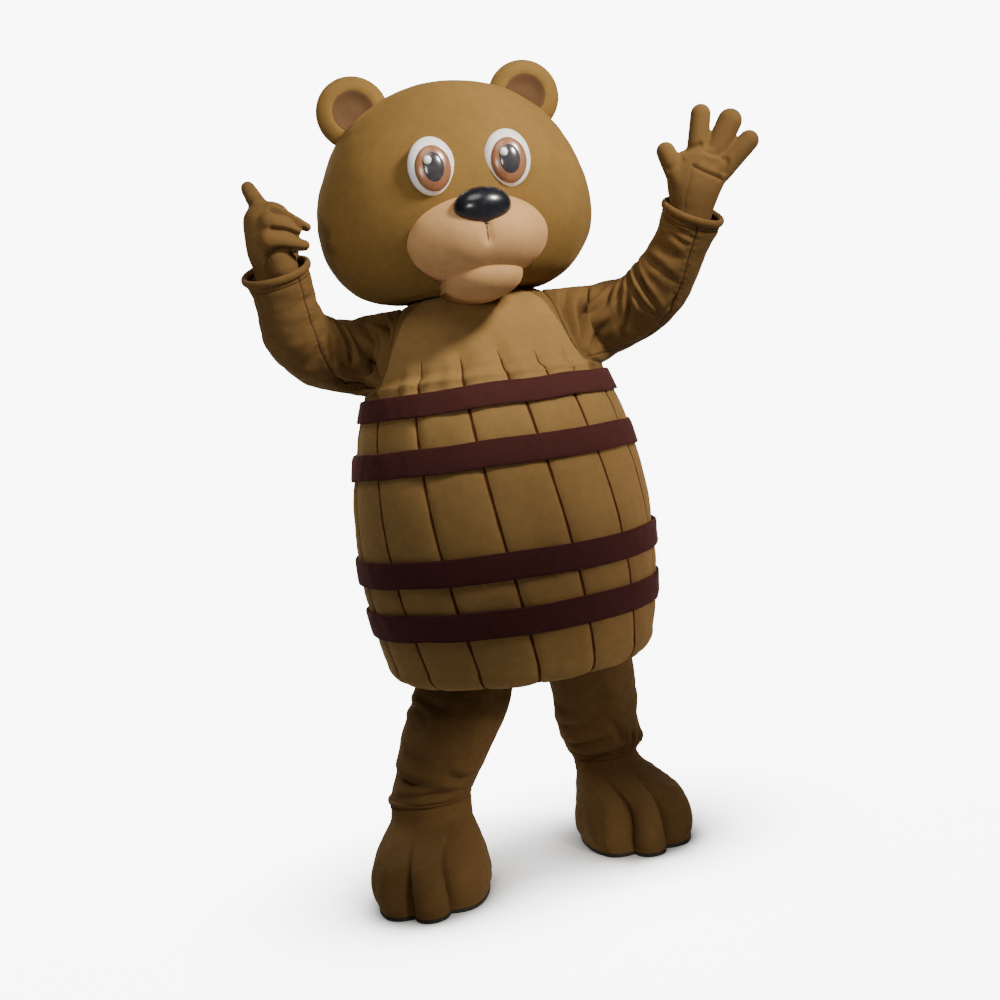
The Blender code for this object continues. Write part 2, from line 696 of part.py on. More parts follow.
def make_sleeves():
    for side in ("left", "right"):
        relief = fold_relief(SLEEVE_FOLDS[side], SLEEVE_RINGS, AROUND)
        skin = sleeve_skin(side, SLEEVE_RINGS, 0.0, relief)
        inner_skin = sleeve_skin(side, SLEEVE_INNER_RINGS, FLEECE_WALL)
        outer = np.vstack([sleeve_seam(side, SEAT_GAP)[None], skin])
        inner = np.vstack([sleeve_seam(side, SEAT_GAP + FLEECE_WALL)[None], inner_skin])
        mesh = tube_wall(f"sleeve_{side}", outer, inner)
        add_piece(f"sleeve_{side}", mesh, "brown_fleece", COSTUME)


def leg_skin(side, count, inset, relief=None):
    """Level rings of a leg, straight down through the base panel and then on to the boot."""
    rings = []
    for k, (x, y, height, half_up, half_side) in enumerate(smooth_rows(LEG_ROWS[side], count)):
        grow = (0.0 if relief is None else relief[k]) - inset
        rings.append(ring_in_plane((x, y, height), FORWARD, LEFTWARD, half_side + grow, half_up + grow))
    collar = rings[0] + np.array((0, 0, BASE_TOP - LEG_ROWS[side][0].height))
    return np.array([collar] + rings)


def make_legs():
    for side in ("left", "right"):
        relief = fold_relief(LEG_FOLDS[side], LEG_RINGS, AROUND)
        outer = leg_skin(side, LEG_RINGS, 0.0, relief)
        mesh = tube_wall(f"leg_{side}", outer, leg_skin(side, LEG_INNER_RINGS, FLEECE_WALL))
        add_piece(f"leg_{side}", mesh, "brown_fleece", COSTUME)


# ---- gloves ----------------------------------------------------------------------------------
def palm_rings(side, inset, past):
    """Rings of a glove: tucked inside the cuff, up the wrist, over the palm and to the knuckles."""
    skin = sleeve_skin(side, SLEEVE_INNER_RINGS, FLEECE_WALL + SEAT_GAP + inset)
    tucked = skin[CUFF_DEPTH_RING]
    outward = skin[-1].mean(axis=0) - tucked.mean(axis=0)
    start = tucked - past * outward / np.linalg.norm(outward)
    lean, sign = PALM_LEAN[side], SIDE_SIGN[side]
    across = (-sign * math.cos(lean), 0.0, sign * math.sin(lean))
    rings = [start]
    for x, y, height, half_width, half_thickness in smooth_rows(PALM_ROWS[side], PALM_RINGS):
        half_sizes = (half_thickness - inset, half_width - inset)
        rings.append(ring_in_plane((x, y, height), FORWARD, across, *half_sizes))
    return np.array(rings)


def make_gloves():
    """Hollow gloves: a palm and its digits joined, with one cavity open at the wrist."""
    for side in ("left", "right"):
        name = f"glove_{side}"
        glove = add_piece(name, solid_loft(name, palm_rings(side, 0.0, 0.0)), "brown_fleece", COSTUME)
        hollow_rings = palm_rings(side, FLEECE_WALL, CAVITY_PAST)[:-1]
        hollow = add_guide(f"{name}_hollow", solid_loft(f"{name}_hollow", hollow_rings), COSTUME)
        for number, digit in enumerate(DIGITS[side]):
            rod = digit_mesh(f"{name}_digit_{number}", digit)
            boolean(glove, "UNION", add_guide(rod.name, rod, COSTUME))
        for number, digit in enumerate(DIGITS[side][:HOLLOW_DIGITS[side]]):
            rod = digit_mesh(f"{name}_digit_hollow_{number}", digit, FLEECE_WALL, 6, 4)
            boolean(hollow, "UNION", add_guide(rod.name, rod, COSTUME))
        boolean(glove, "DIFFERENCE", hollow)


# ---- boots -----------------------------------------------------------------------------------
def on_boot(boot, across, forward, height):
    """A point given across and forward of a boot's centre, turned with the boot."""
    cos, sin = math.cos(boot.yaw), math.sin(boot.yaw)
    x = boot.centre[0] + across * cos + forward * sin
    y = boot.centre[1] + across * sin - forward * cos
    return (x, y, height)


def foot_outline(boot, row, grow=0.0):
    """A level section of a boot: an oval with squarer toes, grooved between them."""
    turn = np.arange(BOOT_AROUND) * math.tau / BOOT_AROUND
    half_width = row.half_width + grow
    half_length = (row.toe - row.heel) / 2 + grow
    sin, cos = np.sin(turn), np.cos(turn)
    across = half_width * sin
    reach = np.where(cos > 0, np.abs(cos) ** TOE_SQUARE, cos)
    forward = (row.toe + row.heel) / 2 + half_length * reach
    outward = np.stack([sin / half_width, cos / half_length]) * half_width
    outward /= np.linalg.norm(outward, axis=0)
    signed = (turn + math.pi) % math.tau - math.pi
    for groove in TOE_GROOVES:
        depth = row.groove * np.clip(1 - np.abs(signed - groove) / TOE_GROOVE_SPREAD, 0, 1) ** 2
        across = across - depth * outward[0]
        forward = forward - depth * outward[1]
    height = np.full(BOOT_AROUND, row.height)
    return np.stack(on_boot(boot, across, forward, height), axis=1)


def boot_rings(boot, inset, low, high):
    """Rings of a boot from its underside up: foot-shaped at first, and turning into the leg's end."""
    ankle = LEG_ROWS[boot.side][-1]
    half_sizes = (ankle.half_side - inset, ankle.half_up - inset)
    leg_ring = ring_in_plane((ankle.x, ankle.y, high), FORWARD, LEFTWARD, *half_sizes, BOOT_AROUND)
    rings = []
    for values in smooth_rows(BOOT_ROWS, BOOT_RINGS):
        row = BootRow(*values)
        blend = min(max(row.towards_leg, 0.0), 1.0)
        ring = foot_outline(boot, row, -inset) * (1 - blend) + leg_ring * blend
        ring[:, 2] = row.height
        rings.append(ring)
    rings[0][:, 2] = low
    rings[-1][:, 2] = high
    return np.array(rings)


def make_boots():
    """Hollow padded boots, each with three round toes, a shaft open at the top and a flat sole."""
    for boot in BOOTS:
        name = f"boot_{boot.side}"
        top = LEG_ROWS[boot.side][-1].height - SEAT_GAP
        low = SOLE_THICKNESS + SEAM_GAP
        outer = boot_rings(boot, 0.0, low, top)
        inner = boot_rings(boot, BOOT_WALL, low + BOOT_WALL, top)
        add_piece(name, tube_wall(name, outer[::-1], inner[::-1], closed_end=True), "brown_fleece", COSTUME)
        make_sole(boot)


def make_sole(boot):
    """A flat sole: the boot's lowest section, a little larger, extruded."""
    name = f"sole_{boot.side}"
    curve = bpy.data.curves.new(name, "CURVE")
    curve.dimensions = "2D"
    curve.fill_mode = "BOTH"
    curve.extrude = SOLE_THICKNESS / 2
    outline = curve.splines.new("POLY")
    outline.points.add(BOOT_AROUND - 1)
    outline.use_cyclic_u = True
    for point, (x, y, _) in zip(outline.points, foot_outline(boot, BOOT_ROWS[0], SOLE_EDGE)):
        point.co = (x, y, 0.0, 1.0)
    curve.materials.append(new_finish(f"sole_black__{name}"))
    sole = bpy.data.objects.new(name, curve)
    sole.location.z = SOLE_THICKNESS / 2
    sole.parent = COSTUME
    PARTS.objects.link(sole)


# ---- the head --------------------------------------------------------------------------------
def head_rings(offset=0.0):
    """Rings of the head about its own axis, moved out by `offset` along the normals."""
    rows = smooth_rows(HEAD_ROWS, HEAD_RINGS + 1)[:-1]
    angle = np.arange(HEAD_AROUND) * math.tau / HEAD_AROUND
    rings = np.stack(
        [
            rows[:, 1:2] * np.sin(angle),
            -rows[:, 2:3] * np.cos(angle),
            np.repeat(rows[:, 0:1], HEAD_AROUND, axis=1),
        ],
        axis=2,
    )
    return rings + offset * normals_of(rings)


def closed_head(name, offset):
    """The head's outer form as one solid, for seating the face and the ears on it."""
    rings = head_rings(offset)
    count = HEAD_RINGS * HEAD_AROUND
    points = list(rings.reshape(-1, 3)) + [np.array((0, 0, HEAD_ROWS[-1].height + offset))]
    faces = grid_faces(HEAD_RINGS, HEAD_AROUND, 0, True)
    faces.append(tuple(range(HEAD_AROUND)))
    first = count - HEAD_AROUND
    for column in range(HEAD_AROUND):
        faces.append((first + column, first + (column + 1) % HEAD_AROUND, count))
    return mesh_of(name, points, faces)


def make_head_shell():
    """The head's wall, open at the neck and closed over the crown."""
    outer = head_rings()
    inner = head_rings(-HEAD_WALL)
    inner[0, :, 2] = outer[0, :, 2]
    mesh = tube_wall("head_shell", outer, inner, closed_end=True)
    poles = [HEAD_ROWS[-1].height, HEAD_ROWS[-1].height - HEAD_WALL]
    for vertex, height in zip(mesh.vertices[-2:], poles):
        vertex.co.z = height
    add_piece("head_shell", mesh, "brown_fleece", HEAD)


def head_front(across, height):
    """How far forward the head's surface lies, at a place across and a height."""
    width, depth = radii_at(HEAD_ROWS, height)
    return float(depth) * math.sqrt(1 - (across / float(width)) ** 2)


def seated(form, carriers):
    """An ellipsoid cut back where it would meet its carriers, so that it sits on them."""
    mesh = ellipsoid_mesh(form.name, form.centre, form.radii, segments=form.segments, rings=form.rings)
    piece = add_piece(form.name, mesh, form.finish, HEAD)
    for carrier in carriers:
        boolean(piece, "DIFFERENCE", carrier)
    return piece


def space_of(form):
    """The space that a seated form takes, with its gap, for cutting what sits on it."""
    name = f"{form.name}_space"
    radii = grown(form.radii, SEAT_GAP)
    mesh = ellipsoid_mesh(name, form.centre, radii, segments=form.segments, rings=form.rings)
    return add_guide(name, mesh, HEAD)


def make_face(head_space):
    """Muzzle, chin and nose, each seated on what is behind it, and a pair of layered round eyes."""
    seated(MUZZLE, [head_space])
    muzzle_space = space_of(MUZZLE)
    seated(CHIN, [head_space, muzzle_space])
    seated(NOSE, [muzzle_space])
    for side, sign in SIDE_SIGN.items():
        across = sign * EYE_SIDE
        front = -head_front(across, EYE_HEIGHT)
        behind = [head_space]
        for layer in EYE_LAYERS:
            centre = (across - layer.inward, front - layer.forward, EYE_HEIGHT + layer.up)
            name = f"{layer.name}_{side}"
            form = Form(name, centre, layer.radii, layer.finish, layer.segments, layer.rings)
            seated(form, behind)
            behind.append(space_of(form))


def front_block(name, centre, back):
    """A block in front of the plane y = `back`, for cutting a panel to its thickness."""
    mesh = bpy.data.meshes.new(name)
    work = bmesh.new()
    bmesh.ops.create_cube(work, size=FRONT_BLOCK)
    place = Matrix.Translation((centre.x, back - FRONT_BLOCK / 2, centre.z))
    bmesh.ops.transform(work, matrix=place, verts=work.verts)
    work.to_mesh(mesh)
    work.free()
    return add_guide(name, mesh, HEAD)


def make_ears(head_space):
    """Round padded ears: a body with a dish in front, and a paler panel lying in the dish."""
    for side, sign in SIDE_SIGN.items():
        centre = Vector((sign * EAR_SIDE, 0.0, EAR_HEIGHT))
        ear = seated(Form(f"ear_{side}", centre, EAR_RADII, "brown_fleece", *EAR_SEGMENTS), [head_space])
        dish_centre = centre - Vector((0, EAR_RADII[1], 0))
        dish = Form(f"ear_dish_{side}", dish_centre, EAR_DISH, "", *EAR_DISH_SEGMENTS)
        boolean(ear, "DIFFERENCE", space_of(dish))
        panel_form = dish._replace(name=f"ear_panel_{side}", finish="peach_fleece")
        panel = seated(panel_form, [head_space])
        back = dish_centre.y + EAR_DISH[1] - EAR_PANEL
        boolean(panel, "DIFFERENCE", front_block(f"ear_front_{side}", centre, back))


def make_head():
    make_head_shell()
    head_space = add_guide("head_space", closed_head("head_space", SEAT_GAP), HEAD)
    make_face(head_space)
    make_ears(head_space)


clear_scene()
PARTS = new_collection("bear_barrel_costume")
GUIDES = new_collection("guides")
COSTUME = new_empty("costume_frame", (0, 0, -SHOULDER_HEIGHT))
HEAD = new_empty("head_frame", (*HEAD_CENTRE, 0.0), HEAD_YAW, COSTUME)
make_staves()
make_hoops()
make_base()
make_chest()
make_sleeves()
make_gloves()
make_legs()
make_boots()
make_head()
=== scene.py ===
# %% [markdown]
# # A bear costume for the stage, dressed
#
# The costume is a large foam head, a padded barrel with hoops, and brown fleece sleeves, gloves, legs
# and boots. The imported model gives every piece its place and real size. This script gives each piece
# its fine surface: the crown of a padded stave, the folds of a sleeve, the roll of a cuff, the short
# nap of the fleece. Points are worked out as whole numpy grids, because a grid is easy to reason
# about: one number runs round the piece, the other runs along it. Heights in the tables are above the
# floor.

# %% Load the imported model
import math
from collections import namedtuple

import bmesh
import bpy
import numpy as np
from mathutils import Matrix, Vector


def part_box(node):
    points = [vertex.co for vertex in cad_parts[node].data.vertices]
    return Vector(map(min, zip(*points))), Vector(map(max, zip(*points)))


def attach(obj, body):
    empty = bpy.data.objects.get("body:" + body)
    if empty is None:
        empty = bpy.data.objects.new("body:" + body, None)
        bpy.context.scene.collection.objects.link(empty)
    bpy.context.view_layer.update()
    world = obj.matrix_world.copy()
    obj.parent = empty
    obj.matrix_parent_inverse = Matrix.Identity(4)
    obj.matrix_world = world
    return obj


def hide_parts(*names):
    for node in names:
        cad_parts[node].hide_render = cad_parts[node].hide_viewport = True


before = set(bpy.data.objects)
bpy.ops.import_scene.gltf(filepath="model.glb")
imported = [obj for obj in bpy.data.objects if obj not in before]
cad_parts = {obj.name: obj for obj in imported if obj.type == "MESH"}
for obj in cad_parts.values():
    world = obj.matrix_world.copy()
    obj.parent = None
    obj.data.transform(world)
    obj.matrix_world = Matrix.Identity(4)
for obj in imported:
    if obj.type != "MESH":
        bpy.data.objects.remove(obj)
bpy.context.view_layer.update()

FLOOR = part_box("sole_left")[0][2]

# %% [markdown]
# ## Camera, floor and light
#
# The camera stands 3.3 m in front at chest height, looks slightly down and is tipped by eight degrees.
# A long lens keeps the proportions of a standing figure. The floor sweeps up into a wall, so no
# horizon shows. The paper glows white to the camera's own rays and sheds little light itself, which
# keeps the costume's shadows deep. Where a boot stands near, the glow is dimmed by the paper's ambient
# occlusion, as a soft contact shadow. A warm key from the upper right models the forms, a fill from
# the left opens the face, a low spot finds the toes, a grazing light from the right rims the barrel,
# and a dim light behind serves the other views.

# %% Camera
IMAGE = 1000
FOCAL_PIXELS = 1360
SENSOR = 36.0
CAMERA_DISTANCE = 3.30
CAMERA_HEIGHT = 1.135
CAMERA_PITCH = math.atan(100 / FOCAL_PIXELS)
CAMERA_ROLL = math.radians(-8)


def add_object(name, data):
    """A new object in the scene, unturned at the origin."""
    thing = bpy.data.objects.new(name, data)
    bpy.context.scene.collection.objects.link(thing)
    return thing


camera_data = bpy.data.cameras.new("camera")
camera_data.sensor_width = SENSOR
camera_data.lens = SENSOR * FOCAL_PIXELS / IMAGE
camera = add_object("camera", camera_data)
stand = Matrix.Translation((0.0, -CAMERA_DISTANCE, FLOOR + CAMERA_HEIGHT))
tilt = Matrix.Rotation(math.pi / 2 - CAMERA_PITCH, 4, "X")
camera.matrix_world = stand @ tilt @ Matrix.Rotation(CAMERA_ROLL, 4, "Z")
bpy.context.scene.camera = camera
print("lens", round(camera_data.lens, 2), "mm")

# %% Floor and backdrop in one sweep
BEND_STEPS = 17


def make_sweep(half_width=7.0, front=-5.0, back=3.2, bend=1.6, height=7.0):
    """A profile of floor, quarter circle and wall in the YZ plane, carried across X."""
    turn = np.radians(np.linspace(0, 90, BEND_STEPS))
    floor = np.array([[front, 0.0], [back, 0.0]])
    curve = np.stack([back + bend * np.sin(turn), bend * (1 - np.cos(turn))], axis=1)
    profile = np.vstack([floor, curve[1:], [[back + bend, height]]])
    grid = np.zeros((len(profile), 2, 3))
    grid[:, :, 0] = [-half_width, half_width]
    grid[:, :, 1] = profile[:, 0:1]
    grid[:, :, 2] = profile[:, 1:2] + FLOOR
    row = np.arange(len(profile) - 1) * 2
    faces = np.stack([row, row + 1, row + 3, row + 2], axis=1)
    mesh = bpy.data.meshes.new("studio_sweep")
    mesh.from_pydata(grid.reshape(-1, 3), [], faces.tolist())
    mesh.shade_smooth()
    return add_object("studio_sweep", mesh)


sweep = make_sweep()
print("sweep of", len(sweep.data.polygons), "faces")

# %% Nodes from short calls
def add_node(tree, kind, place, inputs=None, **settings):
    """A node at a place in the editor; each input, by name or number, takes a link or a constant."""
    node = tree.nodes.new(kind)
    node.location = place
    for label, value in settings.items():
        setattr(node, label, value)
    for label, value in (inputs or {}).items():
        if isinstance(value, bpy.types.NodeSocket):
            tree.links.new(value, node.inputs[label])
        else:
            node.inputs[label].default_value = value
    return node


def math_node(tree, operation, place, *values):
    """Arithmetic on two or three values: MULTIPLY_ADD is the first times the second plus the third."""
    node = add_node(tree, "ShaderNodeMath", place, dict(enumerate(values)), operation=operation)
    return node.outputs["Value"]


def new_material(name, constants):
    """A material and its Principled shader, with constants on the shader's own sockets."""
    material = bpy.data.materials.new(name)
    material.use_nodes = True
    shader = material.node_tree.nodes["Principled BSDF"]
    for label, value in constants.items():
        shader.inputs[label].default_value = value
    return material, shader


print("node helpers ready")

# %% Paper that looks white and casts little light
PAPER_LOOK = {"Base Color": (0.86, 0.86, 0.86, 1.0), "Roughness": 0.9, "Emission Color": (1.0, 1.0, 1.0, 1.0)}
PAPER_GLOW = 0.06
PAPER_SEEN = 8.0
CONTACT_REACH = 0.45
CONTACT_POWER = 5.0


def glow_when_seen(tree, lighting, seen):
    """A strength with one value for the light that is cast and another for what the camera sees."""
    path = add_node(tree, "ShaderNodeLightPath", (-700, -300))
    limits = {"Value": path.outputs["Is Camera Ray"], "To Min": lighting, "To Max": seen}
    return add_node(tree, "ShaderNodeMapRange", (-500, -300), limits).outputs["Result"]


def dimmed_at_contact(tree, strength):
    """The strength times a power of how open the paper is, so that a foot leaves a soft dark rim."""
    near = add_node(tree, "ShaderNodeAmbientOcclusion", (-700, -600), {"Distance": CONTACT_REACH})
    darker = math_node(tree, "POWER", (-500, -600), near.outputs["AO"], CONTACT_POWER)
    return math_node(tree, "MULTIPLY", (-300, -450), darker, strength)


sweep_paper, paper_shader = new_material("sweep_paper", PAPER_LOOK)
paper_tree = sweep_paper.node_tree
paper_glow = dimmed_at_contact(paper_tree, glow_when_seen(paper_tree, PAPER_GLOW, PAPER_SEEN))
paper_tree.links.new(paper_glow, paper_shader.inputs["Emission Strength"])
sweep.data.materials.append(sweep_paper)
print("paper seen at", PAPER_SEEN, "and lighting at", PAPER_GLOW)

# %% Lights and surroundings
Light = namedtuple("Light", "name kind place target size cone power colour")
LIGHTS = [
    Light("key", "SPOT", (1.68, -1.60, 2.85), (-0.06, 0.0, 1.63), 0.55, 40, 545.0, (1.0, 0.94, 0.83)),
    Light("fill", "SPOT", (-1.5, -3.2, 1.8), (-0.04, 0.0, 1.66), 1.0, 25, 200.0, (1.0, 0.96, 0.88)),
    Light("top", "AREA", (-0.3, -1.7, 3.3), (0.0, -0.2, 0.0), 1.4, 0, 19.0, (1.0, 0.97, 0.92)),
    Light("low", "SPOT", (1.30, -2.20, 1.50), (-0.06, -0.12, -0.04), 0.4, 18, 200.0, (1.0, 0.94, 0.85)),
    Light("side", "SPOT", (2.45, -0.55, 1.30), (0.14, -0.05, 0.71), 0.5, 25, 115.0, (1.0, 0.86, 0.80)),
    Light("back", "AREA", (-1.2, 2.2, 2.7), (0.0, 0.0, 1.1), 1.6, 0, 26.0, (1.0, 0.97, 0.90)),
    Light("wall_left", "AREA", (-2.6, 1.6, 2.6), (-1.2, 4.8, 1.0), 1.8, 0, 90.0, (1.0, 1.0, 1.0)),
    Light("wall_right", "AREA", (2.6, 1.6, 2.6), (1.2, 4.8, 1.0), 1.8, 0, 90.0, (1.0, 1.0, 1.0)),
]
SURROUND = 0.04
SURROUND_SEEN = 8.0
SURROUND_COLOUR = (0.97, 0.98, 1.0, 1.0)


def make_light(row):
    """A soft disc, or a soft spot whose beam fades towards the edge of its cone."""
    data = bpy.data.lights.new(row.name, row.kind)
    data.energy = row.power
    data.color = row.colour
    if row.kind == "AREA":
        data.shape = "DISK"
        data.size = row.size
    else:
        data.shadow_soft_size = row.size / 2
        data.spot_size = math.radians(row.cone)
        data.spot_blend = 1.0
    light = add_object(row.name, data)
    light.location = (row.place[0], row.place[1], row.place[2] + FLOOR)
    aim = Vector(row.target) - Vector(row.place)
    light.rotation_euler = aim.to_track_quat("-Z", "Y").to_euler()


for row in LIGHTS:
    make_light(row)
world = bpy.data.worlds.new("studio")
world.use_nodes = True
backdrop = world.node_tree.nodes["Background"]
backdrop.inputs["Color"].default_value = SURROUND_COLOUR
world_glow = glow_when_seen(world.node_tree, SURROUND, SURROUND_SEEN)
world.node_tree.links.new(world_glow, backdrop.inputs["Strength"])
bpy.context.scene.world = world
print(len(LIGHTS), "lights")

# %% [markdown]
# ## Tools of the trade
#
# Every piece below is a grid whose columns run round a closed section. Its rows either close into a
# ring, as on a cuff or a hoop, or end in two poles, as on a boot. A few helpers read short tables as
# smooth curves, find the outward directions of a grid, and press creases into it. A thin shell's inner
# skin goes down with the deepest crease near it, so that it never shows through the outer one.

# %% Tables and smooth curves
FINE_STEPS = 400


def table(columns, *rows):
    """Plain rows of numbers as rows with named columns."""
    return [columns(*row) for row in rows]


def smooth_rows(rows, count):
    """A table's columns at even steps along the Catmull-Rom curve through its rows."""
    knots = np.array(rows, dtype=float)
    padded = np.vstack([2 * knots[0] - knots[1], knots, 2 * knots[-1] - knots[-2]])
    steps = np.linspace(0, len(knots) - 1, count)
    start = np.minimum(steps.astype(int), len(knots) - 2)
    t = (steps - start)[:, None]
    a, b, c, d = (padded[start + k] for k in range(4))
    bend = (2 * a - 5 * b + 4 * c - d) * t**2
    twist = (3 * b - a - 3 * c + d) * t**3
    return 0.5 * (2 * b + (c - a) * t + bend + twist)


def radii_at(rows, heights):
    """Half width and half depth of a table of level sections, at the given heights."""
    fine = smooth_rows(rows, FINE_STEPS)
    return np.interp(heights, fine[:, 0], fine[:, 1]), np.interp(heights, fine[:, 0], fine[:, 2])


def turns(count):
    """Even angles once round, in radians."""
    return np.arange(count) * math.tau / count


def wheel(radius, angle, height, depth=None):
    """Points round an upright axis: angle 0 faces forward and a quarter turn faces +X."""
    depth = radius if depth is None else depth
    return np.stack([radius * np.sin(angle), -depth * np.cos(angle), height + 0 * angle], axis=-1)


def unit(vectors):
    """Vectors of length 1 in the same directions."""
    return vectors / np.linalg.norm(vectors, axis=-1, keepdims=True)


def normals_of(grid):
    """Outward unit normals: the cross product of the two directions in which a grid runs."""
    across = np.roll(grid, -1, axis=1) - np.roll(grid, 1, axis=1)
    normals = np.cross(across, np.gradient(grid, axis=0))
    normals /= np.maximum(np.linalg.norm(normals, axis=2, keepdims=True), 1e-12)
    outward = np.sum(normals * (grid - grid.mean(axis=1, keepdims=True)), axis=2).sum()
    return normals if outward > 0 else -normals


print("a quarter of the way round:", wheel(1.0, turns(4)[1], 0.0).round(3))

# %% Humps and unevenness
Rough = namedtuple("Rough", "size wavelength seed")
LENGTH_SPREAD = (0.75, 1.4)


def hump(distance, width, power=2):
    """A smooth hump, exp(-(distance / width) to a power): 1 in the middle, near 0 two widths away."""
    return np.exp(-((distance / width) ** power))


def ramp(value, start, length):
    """0 up to the start, then a straight climb to 1 over the length."""
    return np.clip((value - start) / length, 0, 1)


def soft_noise(points, wavelength, seed, waves=12):
    """Unevenness between about -1 and 1: plane sine waves of one length in scattered directions."""
    chance = np.random.default_rng(seed)
    directions = unit(chance.normal(size=(waves, 3)))
    lengths = wavelength * chance.uniform(*LENGTH_SPREAD, waves)
    phases = chance.uniform(0, math.tau, waves)
    waves_at = points @ (directions * math.tau / lengths[:, None]).T + phases
    return np.sin(waves_at).sum(axis=-1) / math.sqrt(waves)


def roughness_of(points, *layers):
    """The sum of several layers of unevenness, each with its size in metres, wavelength and seed."""
    return sum(layer.size * soft_noise(points, layer.wavelength, layer.seed) for layer in layers)


print("a wave of noise:", np.round(soft_noise(np.eye(3), 0.5, 1), 3))

# %% Creases pressed into a grid
Crease = namedtuple("Crease", "along_a around_a along_b around_b bow width depth")
VALLEY_POWER = 1.5
LIP_PLACE = 2.4
LIP_WIDTH = 1.5
LIP_HEIGHT = 0.5
DEEPEST = 0.017
FOLD_DEEP = 0.013
FOLD_SHADE = 0.68


def crease_relief(along, around, length, girth, creases, stretch=1.0):
    """Height of the creases over a cloth tube that is unrolled flat.

    Each crease runs from a to b on the unrolled cloth and bows to one side. Across it the cloth dips
    in a narrow valley of the crease's width and rises beside it in two broader, lower lips. Along it
    the dip fades in and out as a half sine, so that both ends run out smoothly. A crease with a
    negative depth is a puff: a ridge between two faint valleys. Where the real cloth is `stretch`
    times as long as the unrolled plan, so is the share of the distance that lies along the tube.
    Where creases meet, their sum is rounded off at DEEPEST: the cloth doesn't fold through itself.
    """
    relief = np.zeros(np.broadcast(along, around).shape)
    for crease in creases:
        start = np.array([crease.along_a * length, crease.around_a / 360 * girth])
        end = np.array([crease.along_b * length, crease.around_b / 360 * girth])
        middle = crease.around_a / 360 + crease.around_b / 360
        round_it = (around / 360 - middle / 2 + 0.5) % 1.0 - 0.5 + middle / 2
        place = np.stack(np.broadcast_arrays(along * length, round_it * girth), axis=-1)
        reach = np.linalg.norm(end - start)
        run = (end - start) / reach
        side = np.array([-run[1], run[0]])
        t = (place - start) @ run / reach
        bowed = crease.bow * 4 * t * (1 - t)
        wider = stretch / np.hypot(stretch * run[0], run[1])
        across = ((place - start) @ side - bowed) * wider / crease.width
        fade = np.sin(np.clip(t, 0, 1) * math.pi)
        dip = np.exp(-np.abs(across) ** VALLEY_POWER)
        lips = hump(np.abs(across) - LIP_PLACE, LIP_WIDTH)
        relief += crease.depth * fade * (LIP_HEIGHT * lips - dip)
    return np.where(relief < 0, DEEPEST * np.tanh(relief / DEEPEST), relief)


def painted_crease_shade(relief):
    """How much painted shade darkens the nap deep in a crease: none in shallow ones."""
    return FOLD_SHADE * np.clip(-relief / FOLD_DEEP, 0, 1) ** 1.5


def lowest_near(relief, rows, columns):
    """The lowest relief within so many rows and columns, so that an inner skin clears each trough."""
    lowest = relief.copy()
    for shift in range(1, rows + 1):
        lowest[shift:] = np.minimum(lowest[shift:], relief[:-shift])
        lowest[:-shift] = np.minimum(lowest[:-shift], relief[shift:])
    across = lowest.copy()
    for shift in range(1, columns + 1):
        for way in (-shift, shift):
            across = np.minimum(across, np.roll(lowest, way, axis=1))
    return across


print("nap in a crease 13 mm deep:", painted_crease_shade(np.array(-FOLD_DEEP)))

# %% Faces of a grid
def grid_quads(rows, columns, ring):
    """Corner numbers of the quads between neighbouring points; columns wrap, rows wrap if ring."""
    row, column = np.meshgrid(np.arange(rows if ring else rows - 1), np.arange(columns), indexing="ij")
    above, beside = (row + 1) % rows * columns, (column + 1) % columns
    corners = [row * columns + column, row * columns + beside, above + beside, above + column]
    return np.stack(corners, axis=-1).reshape(-1, 4)


def pole_fans(rows, columns):
    """Corner numbers of the triangles that close the first and the last row round two poles."""
    column = np.arange(columns)
    beside = (column + 1) % columns
    first = (rows - 1) * columns
    low = np.stack([beside, column, np.full(columns, rows * columns)], axis=1)
    high = np.stack([first + column, first + beside, np.full(columns, rows * columns + 1)], axis=1)
    return np.vstack([low, high])


def signed_volume(points, quads, triangles):
    """Volume by the divergence theorem: a sixth of the triple products of each face's corners."""
    first, second, third, fourth = (points[quads[:, k]] for k in range(4))
    total = np.sum(np.cross(first, second) * third) + np.sum(np.cross(first, third) * fourth)
    a, b, c = (points[triangles[:, k]] for k in range(3))
    return (total + np.sum(np.cross(a, b) * c)) / 6


print("quads round a box of four sides:", len(grid_quads(2, 4, False)))

# %% From a grid to a piece
MADE = {}


def set_floats(layer, label, values):
    """Write a whole array of numbers into a mesh's layer at once."""
    layer.foreach_set(label, values.astype(np.float32).reshape(-1))


def mesh_of(name, points, quads, triangles, values):
    """Whole arrays straight into a mesh, turned so that its faces point outwards."""
    if signed_volume(points, quads, triangles) < 0:
        quads, triangles = quads[:, ::-1], triangles[:, ::-1]
    corners = np.concatenate([quads.reshape(-1), triangles.reshape(-1)])
    counts = np.concatenate([np.full(len(quads), 4), np.full(len(triangles), 3)])
    mesh = bpy.data.meshes.new(name)
    mesh.vertices.add(len(points))
    set_floats(mesh.vertices, "co", points)
    mesh.loops.add(len(corners))
    mesh.loops.foreach_set("vertex_index", corners.astype(np.int32))
    mesh.polygons.add(len(counts))
    mesh.polygons.foreach_set("loop_start", (np.cumsum(counts) - counts).astype(np.int32))
    mesh.update(calc_edges=True)
    mesh.shade_smooth()
    for label, value in values.items():
        set_floats(mesh.attributes.new(label, "FLOAT", "POINT").data, "value", value)
    return mesh


